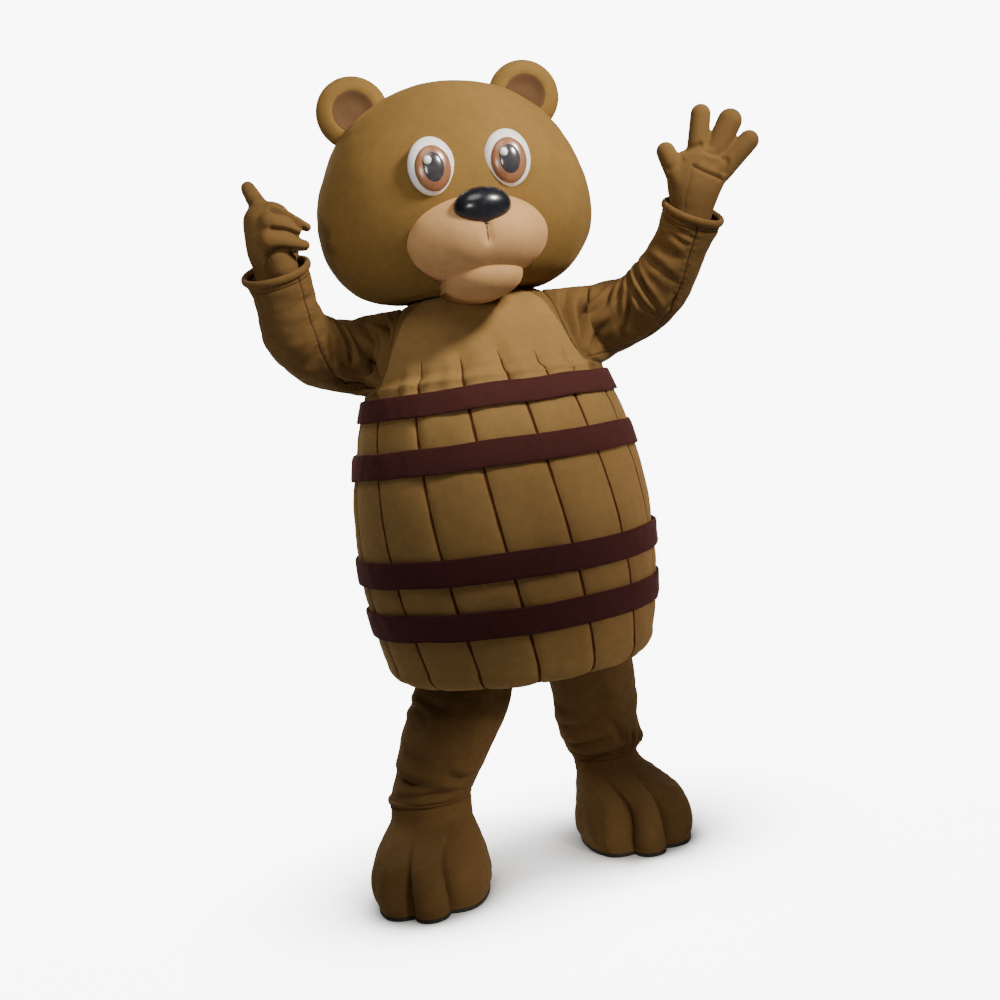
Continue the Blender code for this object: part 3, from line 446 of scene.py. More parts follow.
def grid_piece(name, grid, finish, ring=False, **values):
    """A closed piece from a grid whose heights are above the floor; two poles close it if no ring.

    Values are numbers at the grid's points that the finish reads, such as the darkness of a seam's thread or
    of painted shade in a crease.
    """
    rows, columns = grid.shape[:2]
    points = grid.reshape(-1, 3)
    triangles = np.zeros((0, 3), dtype=int)
    extra = {label: np.broadcast_to(value, (rows, columns)).reshape(-1) for label, value in values.items()}
    if not ring:
        points = np.vstack([points, grid[0].mean(axis=0), grid[-1].mean(axis=0)])
        triangles = pole_fans(rows, columns)
        for label, value in extra.items():
            ends = [value[:columns].mean(), value[-columns:].mean()]
            extra[label] = np.concatenate([value, ends])
    points = points + np.array([0.0, 0.0, FLOOR])
    piece = add_object(name, mesh_of(name, points, grid_quads(rows, columns, ring), triangles, extra))
    piece.data.materials.append(FINISHES[finish])
    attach(piece, "root")
    return piece


def stands_for(piece, slot, *nodes):
    """Hide the plain solids that this piece stands for, and note its triangles; the slot, the record's finish
    for it, is not used.
    """
    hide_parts(*nodes)
    MADE[piece.name] = 2 * len(piece.data.polygons)
    return piece


print("pieces made so far:", len(MADE))

# %% [markdown]
# ## Fleece, gloss and rubber
#
# Stage fleece is a short, dense pile. Close up it is a fine fuzz; from a step away the nap lies in soft
# clumps and the colour drifts in broad patches, darker where hands have brushed it the other way. One
# node group gives that pattern from the object's own coordinates, and each fleece mixes its colours
# with it. The faint light that pile throws back at a grazing angle is the shader's own sheen.

# %% The nap as a node group
NapNoise = namedtuple("NapNoise", "scale detail roughness")
PILE = NapNoise(900.0, 2.0, 0.70)
TUFTS = NapNoise(260.0, 3.0, 0.65)
CLUMPS = NapNoise(55.0, 4.0, 0.60)
PATCHES = NapNoise(6.5, 3.0, 0.55)
PILE_SHARE = 0.55
TUFT_SHARE = 0.60
CLUMP_SHARE = 0.50


def noise_node(tree, vector, noise, place):
    """Noise between 0 and 1, its scale in waves to the metre."""
    inputs = {"Vector": vector, "Scale": noise.scale, "Detail": noise.detail, "Roughness": noise.roughness}
    return add_node(tree, "ShaderNodeTexNoise", place, inputs).outputs["Fac"]


def make_nap_group():
    """Pile height, brushed clumps and broad patches of tone, all from one vector."""
    group = bpy.data.node_groups.new("fleece_nap", "ShaderNodeTree")
    group.interface.new_socket("Vector", in_out="INPUT", socket_type="NodeSocketVector")
    for label in ("Height", "Clumps", "Patches"):
        group.interface.new_socket(label, in_out="OUTPUT", socket_type="NodeSocketFloat")
    vector = add_node(group, "NodeGroupInput", (-800, 0)).outputs["Vector"]
    noises = (PILE, TUFTS, CLUMPS, PATCHES)
    pile, tufts, clumps, patches = (
        noise_node(group, vector, noise, (-500, 300 - 200 * row)) for row, noise in enumerate(noises)
    )
    fuzz = math_node(group, "MULTIPLY", (-200, 300), pile, PILE_SHARE)
    tufted = math_node(group, "MULTIPLY_ADD", (-50, 200), tufts, TUFT_SHARE, fuzz)
    height = math_node(group, "MULTIPLY_ADD", (150, 200), clumps, CLUMP_SHARE, tufted)
    outputs = {"Height": height, "Clumps": clumps, "Patches": patches}
    add_node(group, "NodeGroupOutput", (500, 0), outputs)
    return group


NAP = make_nap_group()
print("nap group with outputs", [item.name for item in NAP.interface.items_tree])


# %% Nodes for colour and bump
def rgba(value):
    """A colour with full alpha; a link stays a link."""
    return (*value, 1.0) if isinstance(value, tuple) else value


def ramp_node(tree, value, stops, place):
    """A colour for each value: one below the first stop, another above the second, mixed between."""
    node = add_node(tree, "ShaderNodeValToRGB", place, {"Fac": value})
    for element, (position, colour) in zip(node.color_ramp.elements, stops):
        element.position = position
        element.color = rgba(colour)
    return node.outputs["Color"]


def mix_colours(tree, factor, first, second, place, blend="MIX"):
    """Two colours mixed, or multiplied, by a factor."""
    inputs = {"Factor": factor, "A": rgba(first), "B": rgba(second)}
    node = add_node(tree, "ShaderNodeMix", place, inputs, data_type="RGBA", blend_type=blend)
    return node.outputs["Result"]


def read_value(tree, label, place):
    """A number that the piece carries at its points."""
    return add_node(tree, "ShaderNodeAttribute", place, attribute_name=label).outputs["Fac"]


def own_place(tree, place):
    """The object's own coordinates, in metres, because each piece sits at the origin."""
    return add_node(tree, "ShaderNodeTexCoord", place).outputs["Object"]


def add_bump(tree, shader, height, strength, distance):
    """A bump from a height, into the shader's normal."""
    inputs = {"Height": height, "Strength": strength, "Distance": distance}
    bump = add_node(tree, "ShaderNodeBump", (-150, -250), inputs)
    tree.links.new(bump.outputs["Normal"], shader.inputs["Normal"])


print("colour helpers ready")

# %% Fleece finishes
# A fleece's line colour is its thread's, and also the painted shade in deep creases and in the boots'
# grooves.
Fleece = namedtuple("Fleece", "colour line second sheen pile")
HONEY_SECOND = (0.160, 0.090, 0.030)
FLEECES = {
    "head_fleece": Fleece((0.192, 0.112, 0.031), (0.045, 0.022, 0.010), None, 0.25, 0.0007),
    "brown_fleece": Fleece((0.155, 0.087, 0.029), (0.040, 0.018, 0.008), None, 0.22, 0.0007),
    "honey_fleece": Fleece((0.290, 0.174, 0.060), (0.085, 0.022, 0.008), HONEY_SECOND, 0.22, 0.0006),
    "peach_fleece": Fleece((0.530, 0.300, 0.130), (0.120, 0.055, 0.025), None, 0.20, 0.0005),
    # The ear panels: a browner fleece, darkened further as painted shade in the ear's dish.
    "ear_fleece_and_painted_shade": Fleece((0.105, 0.056, 0.026), (0.070, 0.032, 0.016), None, 0.20, 0.0006),
    "hoop_fleece": Fleece((0.066, 0.020, 0.018), (0.020, 0.006, 0.006), None, 0.75, 0.0010),
}
FLEECE_LOOK = {"Roughness": 0.95, "Specular IOR Level": 0.15, "Sheen Roughness": 0.45}
SHEEN_GAIN = 2.2
PATCH_TONES = [(0.32, (0.92, 0.91, 0.90)), (0.68, (1.07, 1.06, 1.05))]
CLUMP_TONES = [(0.30, (0.94, 0.94, 0.94)), (0.70, (1.06, 1.06, 1.06))]
THREAD_AND_SHADE_TONES = [(0.38, (0.0, 0.0, 0.0)), (0.86, (1.0, 1.0, 1.0))]
THREAD_AND_SHADE_RAGGED = 0.20
FLEECE_BUMP = 0.55


def make_fleece(name):
    """Fleece: patches and clumps tint the colour, the value 'line' darkens a seam's thread and paints shade
    deep in a crease or a boot's groove, 'cloth' changes it.
    """
    look = FLEECES[name]
    glow = tuple(channel * SHEEN_GAIN for channel in look.colour)
    own = {"Sheen Weight": look.sheen, "Sheen Tint": rgba(glow)}
    material, shader = new_material(name, {**FLEECE_LOOK, **own})
    tree = material.node_tree
    nap = add_node(tree, "ShaderNodeGroup", (-1100, 0), node_tree=NAP)
    tree.links.new(own_place(tree, (-1300, 0)), nap.inputs["Vector"])
    base = look.colour
    if look.second:
        cloth = read_value(tree, "cloth", (-1100, 300))
        base = mix_colours(tree, cloth, look.colour, look.second, (-900, 300))
    broad = ramp_node(tree, nap.outputs["Patches"], PATCH_TONES, (-900, 0))
    small = ramp_node(tree, nap.outputs["Clumps"], CLUMP_TONES, (-900, -250))
    tinted = mix_colours(tree, 1.0, base, broad, (-600, 150), "MULTIPLY")
    tufted = mix_colours(tree, 1.0, tinted, small, (-400, 100), "MULTIPLY")
    # 'line' is thread at a seam and painted shade deep in a crease or a boot's groove.
    seam = read_value(tree, "line", (-1100, -500))
    ragged = math_node(tree, "MULTIPLY_ADD", (-800, -500), nap.outputs["Clumps"], THREAD_AND_SHADE_RAGGED, seam)
    drawn = ramp_node(tree, ragged, THREAD_AND_SHADE_TONES, (-600, -500))
    with_thread_and_shade = mix_colours(tree, drawn, tufted, look.line, (-150, 100))
    tree.links.new(with_thread_and_shade, shader.inputs["Base Color"])
    add_bump(tree, shader, nap.outputs["Height"], FLEECE_BUMP, look.pile)
    return material


FINISHES = {name: make_fleece(name) for name in FLEECES}
print("fleeces:", ", ".join(FINISHES))

# %% Moulded plastic and rubber
Hard = namedtuple("Hard", "colour tint roughness coat speckle")
HARDS = {
    "nose_gloss": Hard((0.006, 0.007, 0.012), (0.012, 0.013, 0.020), 0.30, 0.4, 90.0),
    "eye_white": Hard((0.86, 0.86, 0.84), (0.80, 0.80, 0.78), 0.30, 0.3, 60.0),
    "eye_brown": Hard((0.30, 0.130, 0.062), (0.22, 0.095, 0.045), 0.30, 0.4, 45.0),
    "eye_dark": Hard((0.055, 0.052, 0.060), (0.035, 0.033, 0.040), 0.22, 0.5, 45.0),
    "eye_glint": Hard((0.95, 0.95, 0.95), (0.90, 0.90, 0.90), 0.30, 0.2, 60.0),
    "sole_black": Hard((0.016, 0.015, 0.014), (0.034, 0.032, 0.030), 0.78, 0.0, 240.0),
}
COAT_ROUGHNESS = 0.12
GLOSS_SPREAD = 0.12
HARD_BUMP = 0.12
HARD_RELIEF = 0.0004
HARD_STOPS = (0.35, 0.68)


def make_hard(name):
    """A painted or moulded finish: two close tones and a slight change of gloss over the surface."""
    look = HARDS[name]
    material, shader = new_material(name, {"Coat Weight": look.coat, "Coat Roughness": COAT_ROUGHNESS})
    tree = material.node_tree
    speckle = NapNoise(look.speckle, 3.0, 0.5)
    grain = noise_node(tree, own_place(tree, (-900, 0)), speckle, (-700, 0))
    tones = ramp_node(tree, grain, zip(HARD_STOPS, (look.colour, look.tint)), (-450, 150))
    tree.links.new(tones, shader.inputs["Base Color"])
    dullest = look.roughness - GLOSS_SPREAD / 2
    gloss = math_node(tree, "MULTIPLY_ADD", (-450, -100), grain, GLOSS_SPREAD, dullest)
    tree.links.new(gloss, shader.inputs["Roughness"])
    add_bump(tree, shader, grain, HARD_BUMP, HARD_RELIEF)
    return material


FINISHES.update({name: make_hard(name) for name in HARDS})
print("hard finishes:", ", ".join(HARDS))

# %% [markdown]
# ## The barrel
#
# Fifteen padded staves stand side by side, each a fleece cover over foam. A stave's cover is flat in
# the middle and rolls down into the seams, where a dark line is stitched. The hoops draw the barrel in
# a little. The section round one stave is a closed grid column, and the rows follow the barrel's crown
# from the turned-in hem to the top edge.

# %% Barrel sizes
STAVES = 15
FIRST_SEAM = math.radians(-8)
BARREL_TWIST = math.radians(14)
BARREL_RADIUS = 0.360
BARREL_WIDEST = 0.800
BARREL_BULGE = 0.475
BARREL_TOP = 1.148
HEM_TURN = 0.540
HEM_RADIUS = 0.050
STAVE_WALL = 0.012
SEAM_GAP = 0.0003
SEAT_GAP = 0.0004

Hoop = namedtuple("Hoop", "node height width")
HOOPS = table(
    Hoop,
    ("hoop_1_top", 1.148, 0.052),
    ("hoop_2_upper", 1.020, 0.060),
    ("hoop_3_lower", 0.772, 0.062),
    ("hoop_4_bottom", 0.647, 0.064),
)


def barrel_radius(height):
    """The barrel's crown: a parabola that is widest at BARREL_WIDEST."""
    return BARREL_RADIUS - BARREL_BULGE * (height - BARREL_WIDEST) ** 2


def barrel_twist(height):
    """How far the padding has turned on its wearer: nothing at the top edge, most at the hem."""
    fall = BARREL_TOP - np.maximum(height, HEM_TURN)
    return BARREL_TWIST * fall / (BARREL_TOP - HEM_TURN)


def stave_profile(hem_rows, side_rows):
    """Rows of radius, height and outward direction, from the turned-in hem up to the top edge."""
    centre = barrel_radius(HEM_TURN) - HEM_RADIUS
    turn = np.radians(np.linspace(-90, 0, hem_rows, endpoint=False))
    heights = np.linspace(HEM_TURN, BARREL_TOP - SEAM_GAP / 2, side_rows)
    radius = np.concatenate([centre + HEM_RADIUS * np.cos(turn), barrel_radius(heights)])
    height = np.concatenate([HEM_TURN + HEM_RADIUS * np.sin(turn), heights])
    out = np.concatenate([np.cos(turn), np.ones(side_rows)])
    up = np.concatenate([np.sin(turn), np.zeros(side_rows)])
    return radius[:, None], height[:, None], out[:, None], up[:, None]


print("widest radius", barrel_radius(BARREL_WIDEST), "hem radius", round(barrel_radius(HEM_TURN), 3))

# %% Staves
STAVE_HEM_ROWS = 10
STAVE_SIDE_ROWS = 78
STAVE_COLUMNS = 27
STAVE_INNER_STEP = 3
STAVE_SINK = 0.0055
EDGE_POWER = 7
HOOP_PRESS = 0.0016
HOOP_PRESS_SPREAD = 0.75
STAVE_ROUGH = (Rough(0.0013, 0.16, 11), Rough(0.0005, 0.045, 12))
STAVE_WOBBLE = Rough(0.0006, 0.04, 13)
LINE_HALF_WIDTH = 0.0034
LINE_SOFTNESS = 0.9
LINE_REACH = 1.4


def drawn_line(distance, half_width, reach=LINE_REACH):
    """The darkness of a stitched line, or of a line of painted shade along a glove's crease: 1 near its
    middle, falling straight to 0 at its edge.
    """
    return np.clip(reach - np.abs(distance) / half_width, 0, 1)


def make_stave(index):
    """Outer skin, rolled edges and inner skin of one stave as one closed section per row.

    The skin sinks towards its edges as the seventh power of the place across. The hoops press a
    shallow band into it, and broad and small noise keep the foam from looking machined.
    """
    radius, height, out, up = stave_profile(STAVE_HEM_ROWS, STAVE_SIDE_ROWS)
    edge = np.sin(np.linspace(-math.pi / 2, math.pi / 2, STAVE_COLUMNS))
    across = np.concatenate([edge, edge[::-1][::STAVE_INNER_STEP]])
    outer = np.arange(len(across)) < len(edge)
    middle = FIRST_SEAM + (index + 0.5) * math.tau / STAVES + barrel_twist(height)
    reach = math.pi / STAVES - SEAM_GAP / 2 / radius
    angle = middle + across * reach
    flat = wheel(radius, angle, height)
    press = sum(
        HOOP_PRESS * hump(height - hoop.height, hoop.width * HOOP_PRESS_SPREAD, 4) for hoop in HOOPS
    )
    uneven = roughness_of(flat, *STAVE_ROUGH) * (1 - np.abs(across) ** 4)
    sink = np.where(outer, STAVE_SINK * np.abs(across) ** EDGE_POWER + press - uneven, STAVE_WALL)
    grid = flat - sink[:, :, None] * wheel(out, angle, up)
    from_seam = radius * (reach - np.abs(across) * reach)
    from_seam += roughness_of(flat, STAVE_WOBBLE)
    line = np.where(outer, drawn_line(from_seam, LINE_HALF_WIDTH / LINE_SOFTNESS), 0.0)
    node = f"stave_{index + 1:02d}"
    piece = grid_piece(f"padded_{node}", grid, "honey_fleece", line=line, cloth=0.0)
    return stands_for(piece, "honey_fleece", node)


for index in range(STAVES):
    make_stave(index)
print(STAVES, "staves of", MADE["padded_stave_01"], "triangles")

# %% Hoops
HOOP_STEPS = 260
HOOP_SECTION = 26
HOOP_DEPTH = 0.0078
HOOP_SQUARE = (0.55, 0.35)
HOOP_WAVER = Rough(0.0016, 0.20, 20)
HOOP_FAT = Rough(0.10, 0.11, 21)
HOOP_PUCKER = Rough(0.0007, 0.035, 22)
FAT_SHARE = 0.03
HOOP_EDGE = 0.86
HOOP_LINE = 0.55
HOOP_LINE_FALL = 8


def squared(wave, power):
    """A sine made squarer: its sign times a power of its size."""
    return np.sign(wave) * np.abs(wave) ** power


def make_hoop(hoop, more):
    """A padded band: a rounded oblong section carried round the barrel, its edges slightly uneven.

    `more` is added to the seeds, so that no two hoops waver alike.
    """
    turn = turns(HOOP_STEPS)
    section = turns(HOOP_SECTION)
    square_across = squared(np.cos(section), HOOP_SQUARE[0])
    square_up = squared(np.sin(section), HOOP_SQUARE[1])
    ring = np.stack([np.cos(turn), np.sin(turn), 0 * turn], axis=1) * BARREL_RADIUS
    waver, swell = (
        roughness_of(ring + hoop.height, layer._replace(seed=layer.seed + more))[:, None]
        for layer in (HOOP_WAVER, HOOP_FAT)
    )
    fat = 1 + swell
    height = hoop.height + waver + square_up * hoop.width / 2 * (1 - FAT_SHARE + FAT_SHARE * fat)
    skin = barrel_radius(height) + SEAT_GAP
    depth = HOOP_DEPTH * (0.5 + 0.5 * square_across) * fat
    place = np.stack([ring[:, 0:1] + 0 * height, ring[:, 1:2] + 0 * height, height], axis=2)
    pucker = roughness_of(place, HOOP_PUCKER._replace(seed=HOOP_PUCKER.seed + more))
    radius = skin + depth + pucker * (square_across > 0)
    grid = wheel(radius, turn[:, None], height)
    edge = np.abs(np.abs(square_up) - HOOP_EDGE)
    line = np.clip(HOOP_LINE - edge * HOOP_LINE_FALL, 0, 1) * (square_across > 0)
    piece = grid_piece(f"band_{hoop.node}", grid, "hoop_fleece", ring=True, line=line)
    return stands_for(piece, "hoop_fleece", hoop.node)


for number, hoop in enumerate(HOOPS):
    make_hoop(hoop, 3 * number)
print(len(HOOPS), "hoops of", MADE["band_hoop_1_top"], "triangles")

# %% [markdown]
# ## The panel under the barrel
#
# A flat fleece panel closes the barrel between the hem and the legs. A disc is worked out as a polar
# grid with a slight sag, and the two leg holes are cut from it with Boolean modifiers, because no
# single grid holds two holes.

# %% Tables of the legs, which the panel's holes follow
TubeRow = namedtuple("TubeRow", "x y height half_up half_side")
FORWARD = np.array((0.0, -1.0, 0.0))
LEFTWARD = np.array((1.0, 0.0, 0.0))
SIDE_SIGN = {"left": 1.0, "right": -1.0}
LEG_ROWS = {
    "left": table(
        TubeRow,
        (0.153, 0.016, 0.486, 0.107, 0.108), (0.162, 0.032, 0.450, 0.110, 0.110),
        (0.169, 0.075, 0.380, 0.106, 0.104), (0.168, 0.115, 0.310, 0.105, 0.100),
        (0.174, 0.150, 0.245, 0.101, 0.096), (0.178, 0.175, 0.192, 0.083, 0.081),
    ),
    "right": table(
        TubeRow,
        (-0.145, 0.000, 0.486, 0.117, 0.119), (-0.151, -0.006, 0.455, 0.124, 0.127),
        (-0.174, -0.016, 0.400, 0.127, 0.131), (-0.203, -0.030, 0.340, 0.122, 0.128),
        (-0.238, -0.046, 0.265, 0.109, 0.112), (-0.268, -0.055, 0.205, 0.100, 0.102),
    ),
}


def ring_in_plane(centre, side, up, half_side, half_up, around):
    """A ring of points: angle 0 lies on `side`, a quarter turn on `up`."""
    angle = turns(around)
    across = (np.cos(angle) * half_side)[:, None] * np.asarray(side)
    return np.asarray(centre) + across + (np.sin(angle) * half_up)[:, None] * np.asarray(up)


print("leg tops:", {side: rows[0][:2] for side, rows in LEG_ROWS.items()})

# %% The panel
PANEL_AROUND = 120
PANEL_RINGS = 34
PANEL_SAG = 0.004
PANEL_LIFT = 0.0015
PANEL_ROUGH = Rough(0.0009, 0.06, 61)
PANEL_POLE = 0.03
PANEL_CORNER = 0.45
SAG_SHARE = 0.3
HOLE_AROUND = 96
HOLE_REACH = 0.02


def apply_modifiers(piece):
    """Swap the piece's mesh for the one that its modifiers make."""
    shaped = piece.evaluated_get(bpy.context.evaluated_depsgraph_get())
    mesh = bpy.data.meshes.new_from_object(shaped)
    piece.modifiers.clear()
    old = piece.data
    piece.data = mesh
    bpy.data.meshes.remove(old)


def leg_hole(side, low, high):
    """A plug of the leg's size and a seat's gap more, which a Boolean takes out of the panel."""
    leg = LEG_ROWS[side][0]
    sizes = (leg.half_side + SEAT_GAP, leg.half_up + SEAT_GAP)
    rings = [ring_in_plane((leg.x, leg.y, z), FORWARD, LEFTWARD, *sizes, HOLE_AROUND) for z in (low, high)]
    return grid_piece(f"leg_hole_{side}", np.array(rings), "brown_fleece", line=0.0)


def make_underside():
    """A disc of foam and fleece: its skin sags by a few millimetres towards the middle."""
    low = HEM_TURN - HEM_RADIUS
    high = low + STAVE_WALL
    rim = (barrel_radius(HEM_TURN) - HEM_RADIUS) * math.cos(PANEL_CORNER * math.pi / STAVES) - SEAM_GAP
    out = np.sin(np.linspace(PANEL_POLE, math.pi / 2, PANEL_RINGS)) * rim
    radius = np.concatenate([out, out[::-1]])
    sag = PANEL_SAG * np.cos(out / rim * math.pi / 2)
    height = np.concatenate([low + PANEL_LIFT - sag * SAG_SHARE, np.full(len(out), high)])
    grid = wheel(radius[:, None], turns(PANEL_AROUND), height[:, None])
    under = np.arange(len(radius)) < len(out) - 1
    grid[:, :, 2] += np.where(under[:, None], roughness_of(grid, PANEL_ROUGH), 0.0)
    piece = grid_piece("barrel_underside", grid, "brown_fleece", line=0.0)
    cutters = [leg_hole(side, low - HOLE_REACH, high + HOLE_REACH) for side in SIDE_SIGN]
    for cutter in cutters:
        cut = piece.modifiers.new("leg_hole", "BOOLEAN")
        cut.operation = "DIFFERENCE"
        cut.solver = "EXACT"
        cut.object = cutter
    apply_modifiers(piece)
    for cutter in cutters:
        bpy.data.objects.remove(cutter, do_unlink=True)
    return stands_for(piece, "brown_fleece", "barrel_base")


underside = make_underside()
print("underside of", MADE[underside.name], "triangles")

# %% [markdown]
# ## The chest
#
# Front and back are two panels of unpadded fleece between the barrel's top edge and the neck, joined at
# the side seams and open at the armholes. Each is a thin shell: a grid of the torso's skin and a
# second grid one cloth's thickness inside it. The front is a honey bib between brown sides. Short dark
# tucks rise from the top hoop, where the cloth also bunches into a soft ridge, and a seam in a narrow
# groove runs between the honey bib and the brown sides.

# %% The torso's skin
TorsoRow = namedtuple("TorsoRow", "height half_width half_depth")
TORSO_ROWS = table(
    TorsoRow,
    (1.148, 0.3025, 0.3025), (1.176, 0.2915, 0.2900), (1.210, 0.2780, 0.2700), (1.260, 0.2620, 0.2440),
    (1.310, 0.2440, 0.2180), (1.345, 0.2200, 0.1920), (1.370, 0.1850, 0.1640), (1.3875, 0.1500, 0.1400),
)
ARMHOLE_LOW = 1.185
ARMHOLE_HIGH = 1.378
ARMHOLE_TURN = math.radians(38)
ARMHOLE_SQUARE = 3.0
TORSO_STEP = 0.002
TORSO_MEAN_RADIUS = 0.25


def torso_point(angle, height, inset=0.0):
    """A point of the torso, `angle` from the front towards +X, moved in by `inset` along the normal."""
    angle, height = np.broadcast_arrays(np.asarray(angle, float), np.asarray(height, float))
    width, depth = radii_at(TORSO_ROWS, height)
    width_up, depth_up = radii_at(TORSO_ROWS, height + TORSO_STEP)
    width_down, depth_down = radii_at(TORSO_ROWS, height - TORSO_STEP)
    around = np.stack([width * np.cos(angle), depth * np.sin(angle), 0 * height], axis=-1)
    rise = wheel(width_up - width_down, angle, 2 * TORSO_STEP + 0 * height, depth_up - depth_down)
    normal = unit(np.cross(around, rise))
    return wheel(width, angle, height, depth) - np.asarray(inset)[..., None] * normal


def armhole(phase, shrink=0.0):
    """Angle back from the side seam and height, at a phase round the armhole from its front."""
    middle = (ARMHOLE_LOW + ARMHOLE_HIGH) / 2
    half = (ARMHOLE_HIGH - ARMHOLE_LOW) / 2 - shrink
    turn = ARMHOLE_TURN - shrink / TORSO_MEAN_RADIUS
    power = 2 / ARMHOLE_SQUARE
    return turn * squared(np.cos(phase), power), middle + half * squared(np.sin(phase), power)


print("torso at the armpit:", np.round(torso_point(math.pi / 2, ARMHOLE_LOW), 3))

# %% Tucks and the bib's edge
Tuck = namedtuple("Tuck", "turn low_turn tip width depth dark")
TUCKS = table(
    Tuck,
    (-62, -60, 1.215, 0.0040, 0.0030, 0.5), (-42, -40, 1.214, 0.0042, 0.0035, 0.7),
    (-30, -31, 1.246, 0.0050, 0.0050, 0.9), (-9.5, -8.5, 1.240, 0.0062, 0.0060, 1.0),
    (9, 13, 1.246, 0.0056, 0.0060, 1.0), (27.5, 31.5, 1.236, 0.0054, 0.0055, 1.0),
    (45, 48, 1.240, 0.0042, 0.0040, 0.7), (63, 66, 1.216, 0.0040, 0.0030, 0.5),
)
TUCK_FOOT = 1.25
THREAD_SHARE = 0.62
THREAD_REACH = 1.5
VALLEY_REACH = 1.7
VALLEY_WIDTH = 0.017
VALLEY_SHARE = 0.75
SWELL_PLACE = 0.034
SWELL_WIDTH = 0.018
SWELL_SHARE = 0.55
BIB_LOW = math.radians(58)
BIB_HIGH = math.radians(48)
BIB_RISE = 0.13


def tuck_fields(angle, height, radius):
    """Depth of the tucks and the darkness of their sewn lines.

    A tuck is a narrow trough that tapers to its tip and lies in a broad, shallow valley, which runs
    on above it. Its middle drifts sideways as it climbs. The thread shows where the tuck is deepest.
    """
    relief = np.zeros(height.shape)
    line = np.zeros(height.shape)
    for tuck in TUCKS:
        climb = (height - BARREL_TOP) / (tuck.tip - BARREL_TOP)
        centre = np.radians(tuck.low_turn + (tuck.turn - tuck.low_turn) * climb)
        off = np.abs(angle - centre) * radius
        width = tuck.width * (TUCK_FOOT - np.clip(climb, 0, 1))
        relief -= tuck.depth * np.clip(1 - climb, 0, 1) ** 0.5 * hump(off, width)
        valley = np.clip(VALLEY_REACH - climb, 0, 1)
        relief -= VALLEY_SHARE * tuck.depth * valley * hump(off, VALLEY_WIDTH)
        relief += SWELL_SHARE * tuck.depth * valley * hump(off - SWELL_PLACE, SWELL_WIDTH)
        thread = drawn_line(off, THREAD_SHARE * width, THREAD_REACH) * (climb < 1)
        line = np.maximum(line, tuck.dark * thread)
    return relief, line


def past_bib(angle, height):
    """How far a point lies past the bib's sloping edge, in radians: the cloth beyond it is brown."""
    edge = BIB_LOW + (BIB_HIGH - BIB_LOW) * ramp(height, ARMHOLE_LOW, BIB_RISE)
    return np.abs(angle) - edge


print(len(TUCKS), "tucks, the tallest up to", max(tuck.tip for tuck in TUCKS), "m")

# %% Rows and columns of a chest panel
CHEST_CLOTH = 0.005
CHEST_LOW_ROWS = 16
CHEST_ARM_ROWS = 60
CHEST_TOP_ROWS = 6
CHEST_INNER_STEP = 4
SPREAD_EVENLY = 0.75
RIDGE_HEIGHT = 1.191
RIDGE_SPREAD = 0.0085
RIDGE_RISE = 0.0062
RIDGE_DIP = 0.0030
RIDGE_DIP_ABOVE = 0.021
BIB_SEAM_WIDTH = 0.004
BIB_SEAM_DEPTH = 0.0018
BIB_THREAD = 0.0022
BIB_DARK = 0.55
CHEST_BROAD = Rough(0.0030, 0.15, 31)
CHEST_SMALL = Rough(0.0008, 0.05, 32)
RIDGE_WAVER = Rough(0.003, 0.16, 33)
LONG_UPRIGHT = [1, 1, 0.35]
ONLY_ROUND = [1, 1, 0]
RIM_POWER = 14
CHEST_EASE = 0.02


def chest_section(columns):
    """Places across a panel, from -1 to 1 outside and back inside, closer together at the edges."""
    even = np.linspace(-1, 1, columns)
    across = np.sin(even * math.pi / 2) * (1 - SPREAD_EVENLY) + even * SPREAD_EVENLY
    return np.concatenate([across, across[::-1][::CHEST_INNER_STEP]])


def chest_rows():
    """Heights of the rows, and how far each gives way at the side to the armhole."""
    swing, arm_heights = armhole(np.radians(np.linspace(-90, 90, CHEST_ARM_ROWS)))
    low = np.linspace(BARREL_TOP + SEAM_GAP / 2, ARMHOLE_LOW, CHEST_LOW_ROWS)[:-1]
    high = np.linspace(ARMHOLE_HIGH, TORSO_ROWS[-1].height, CHEST_TOP_ROWS)[1:]
    give = np.concatenate([0 * low, np.maximum(swing, 0.0), 0 * high])
    return np.concatenate([low, arm_heights, high]), give


print("rows of a chest panel:", len(chest_rows()[0]))


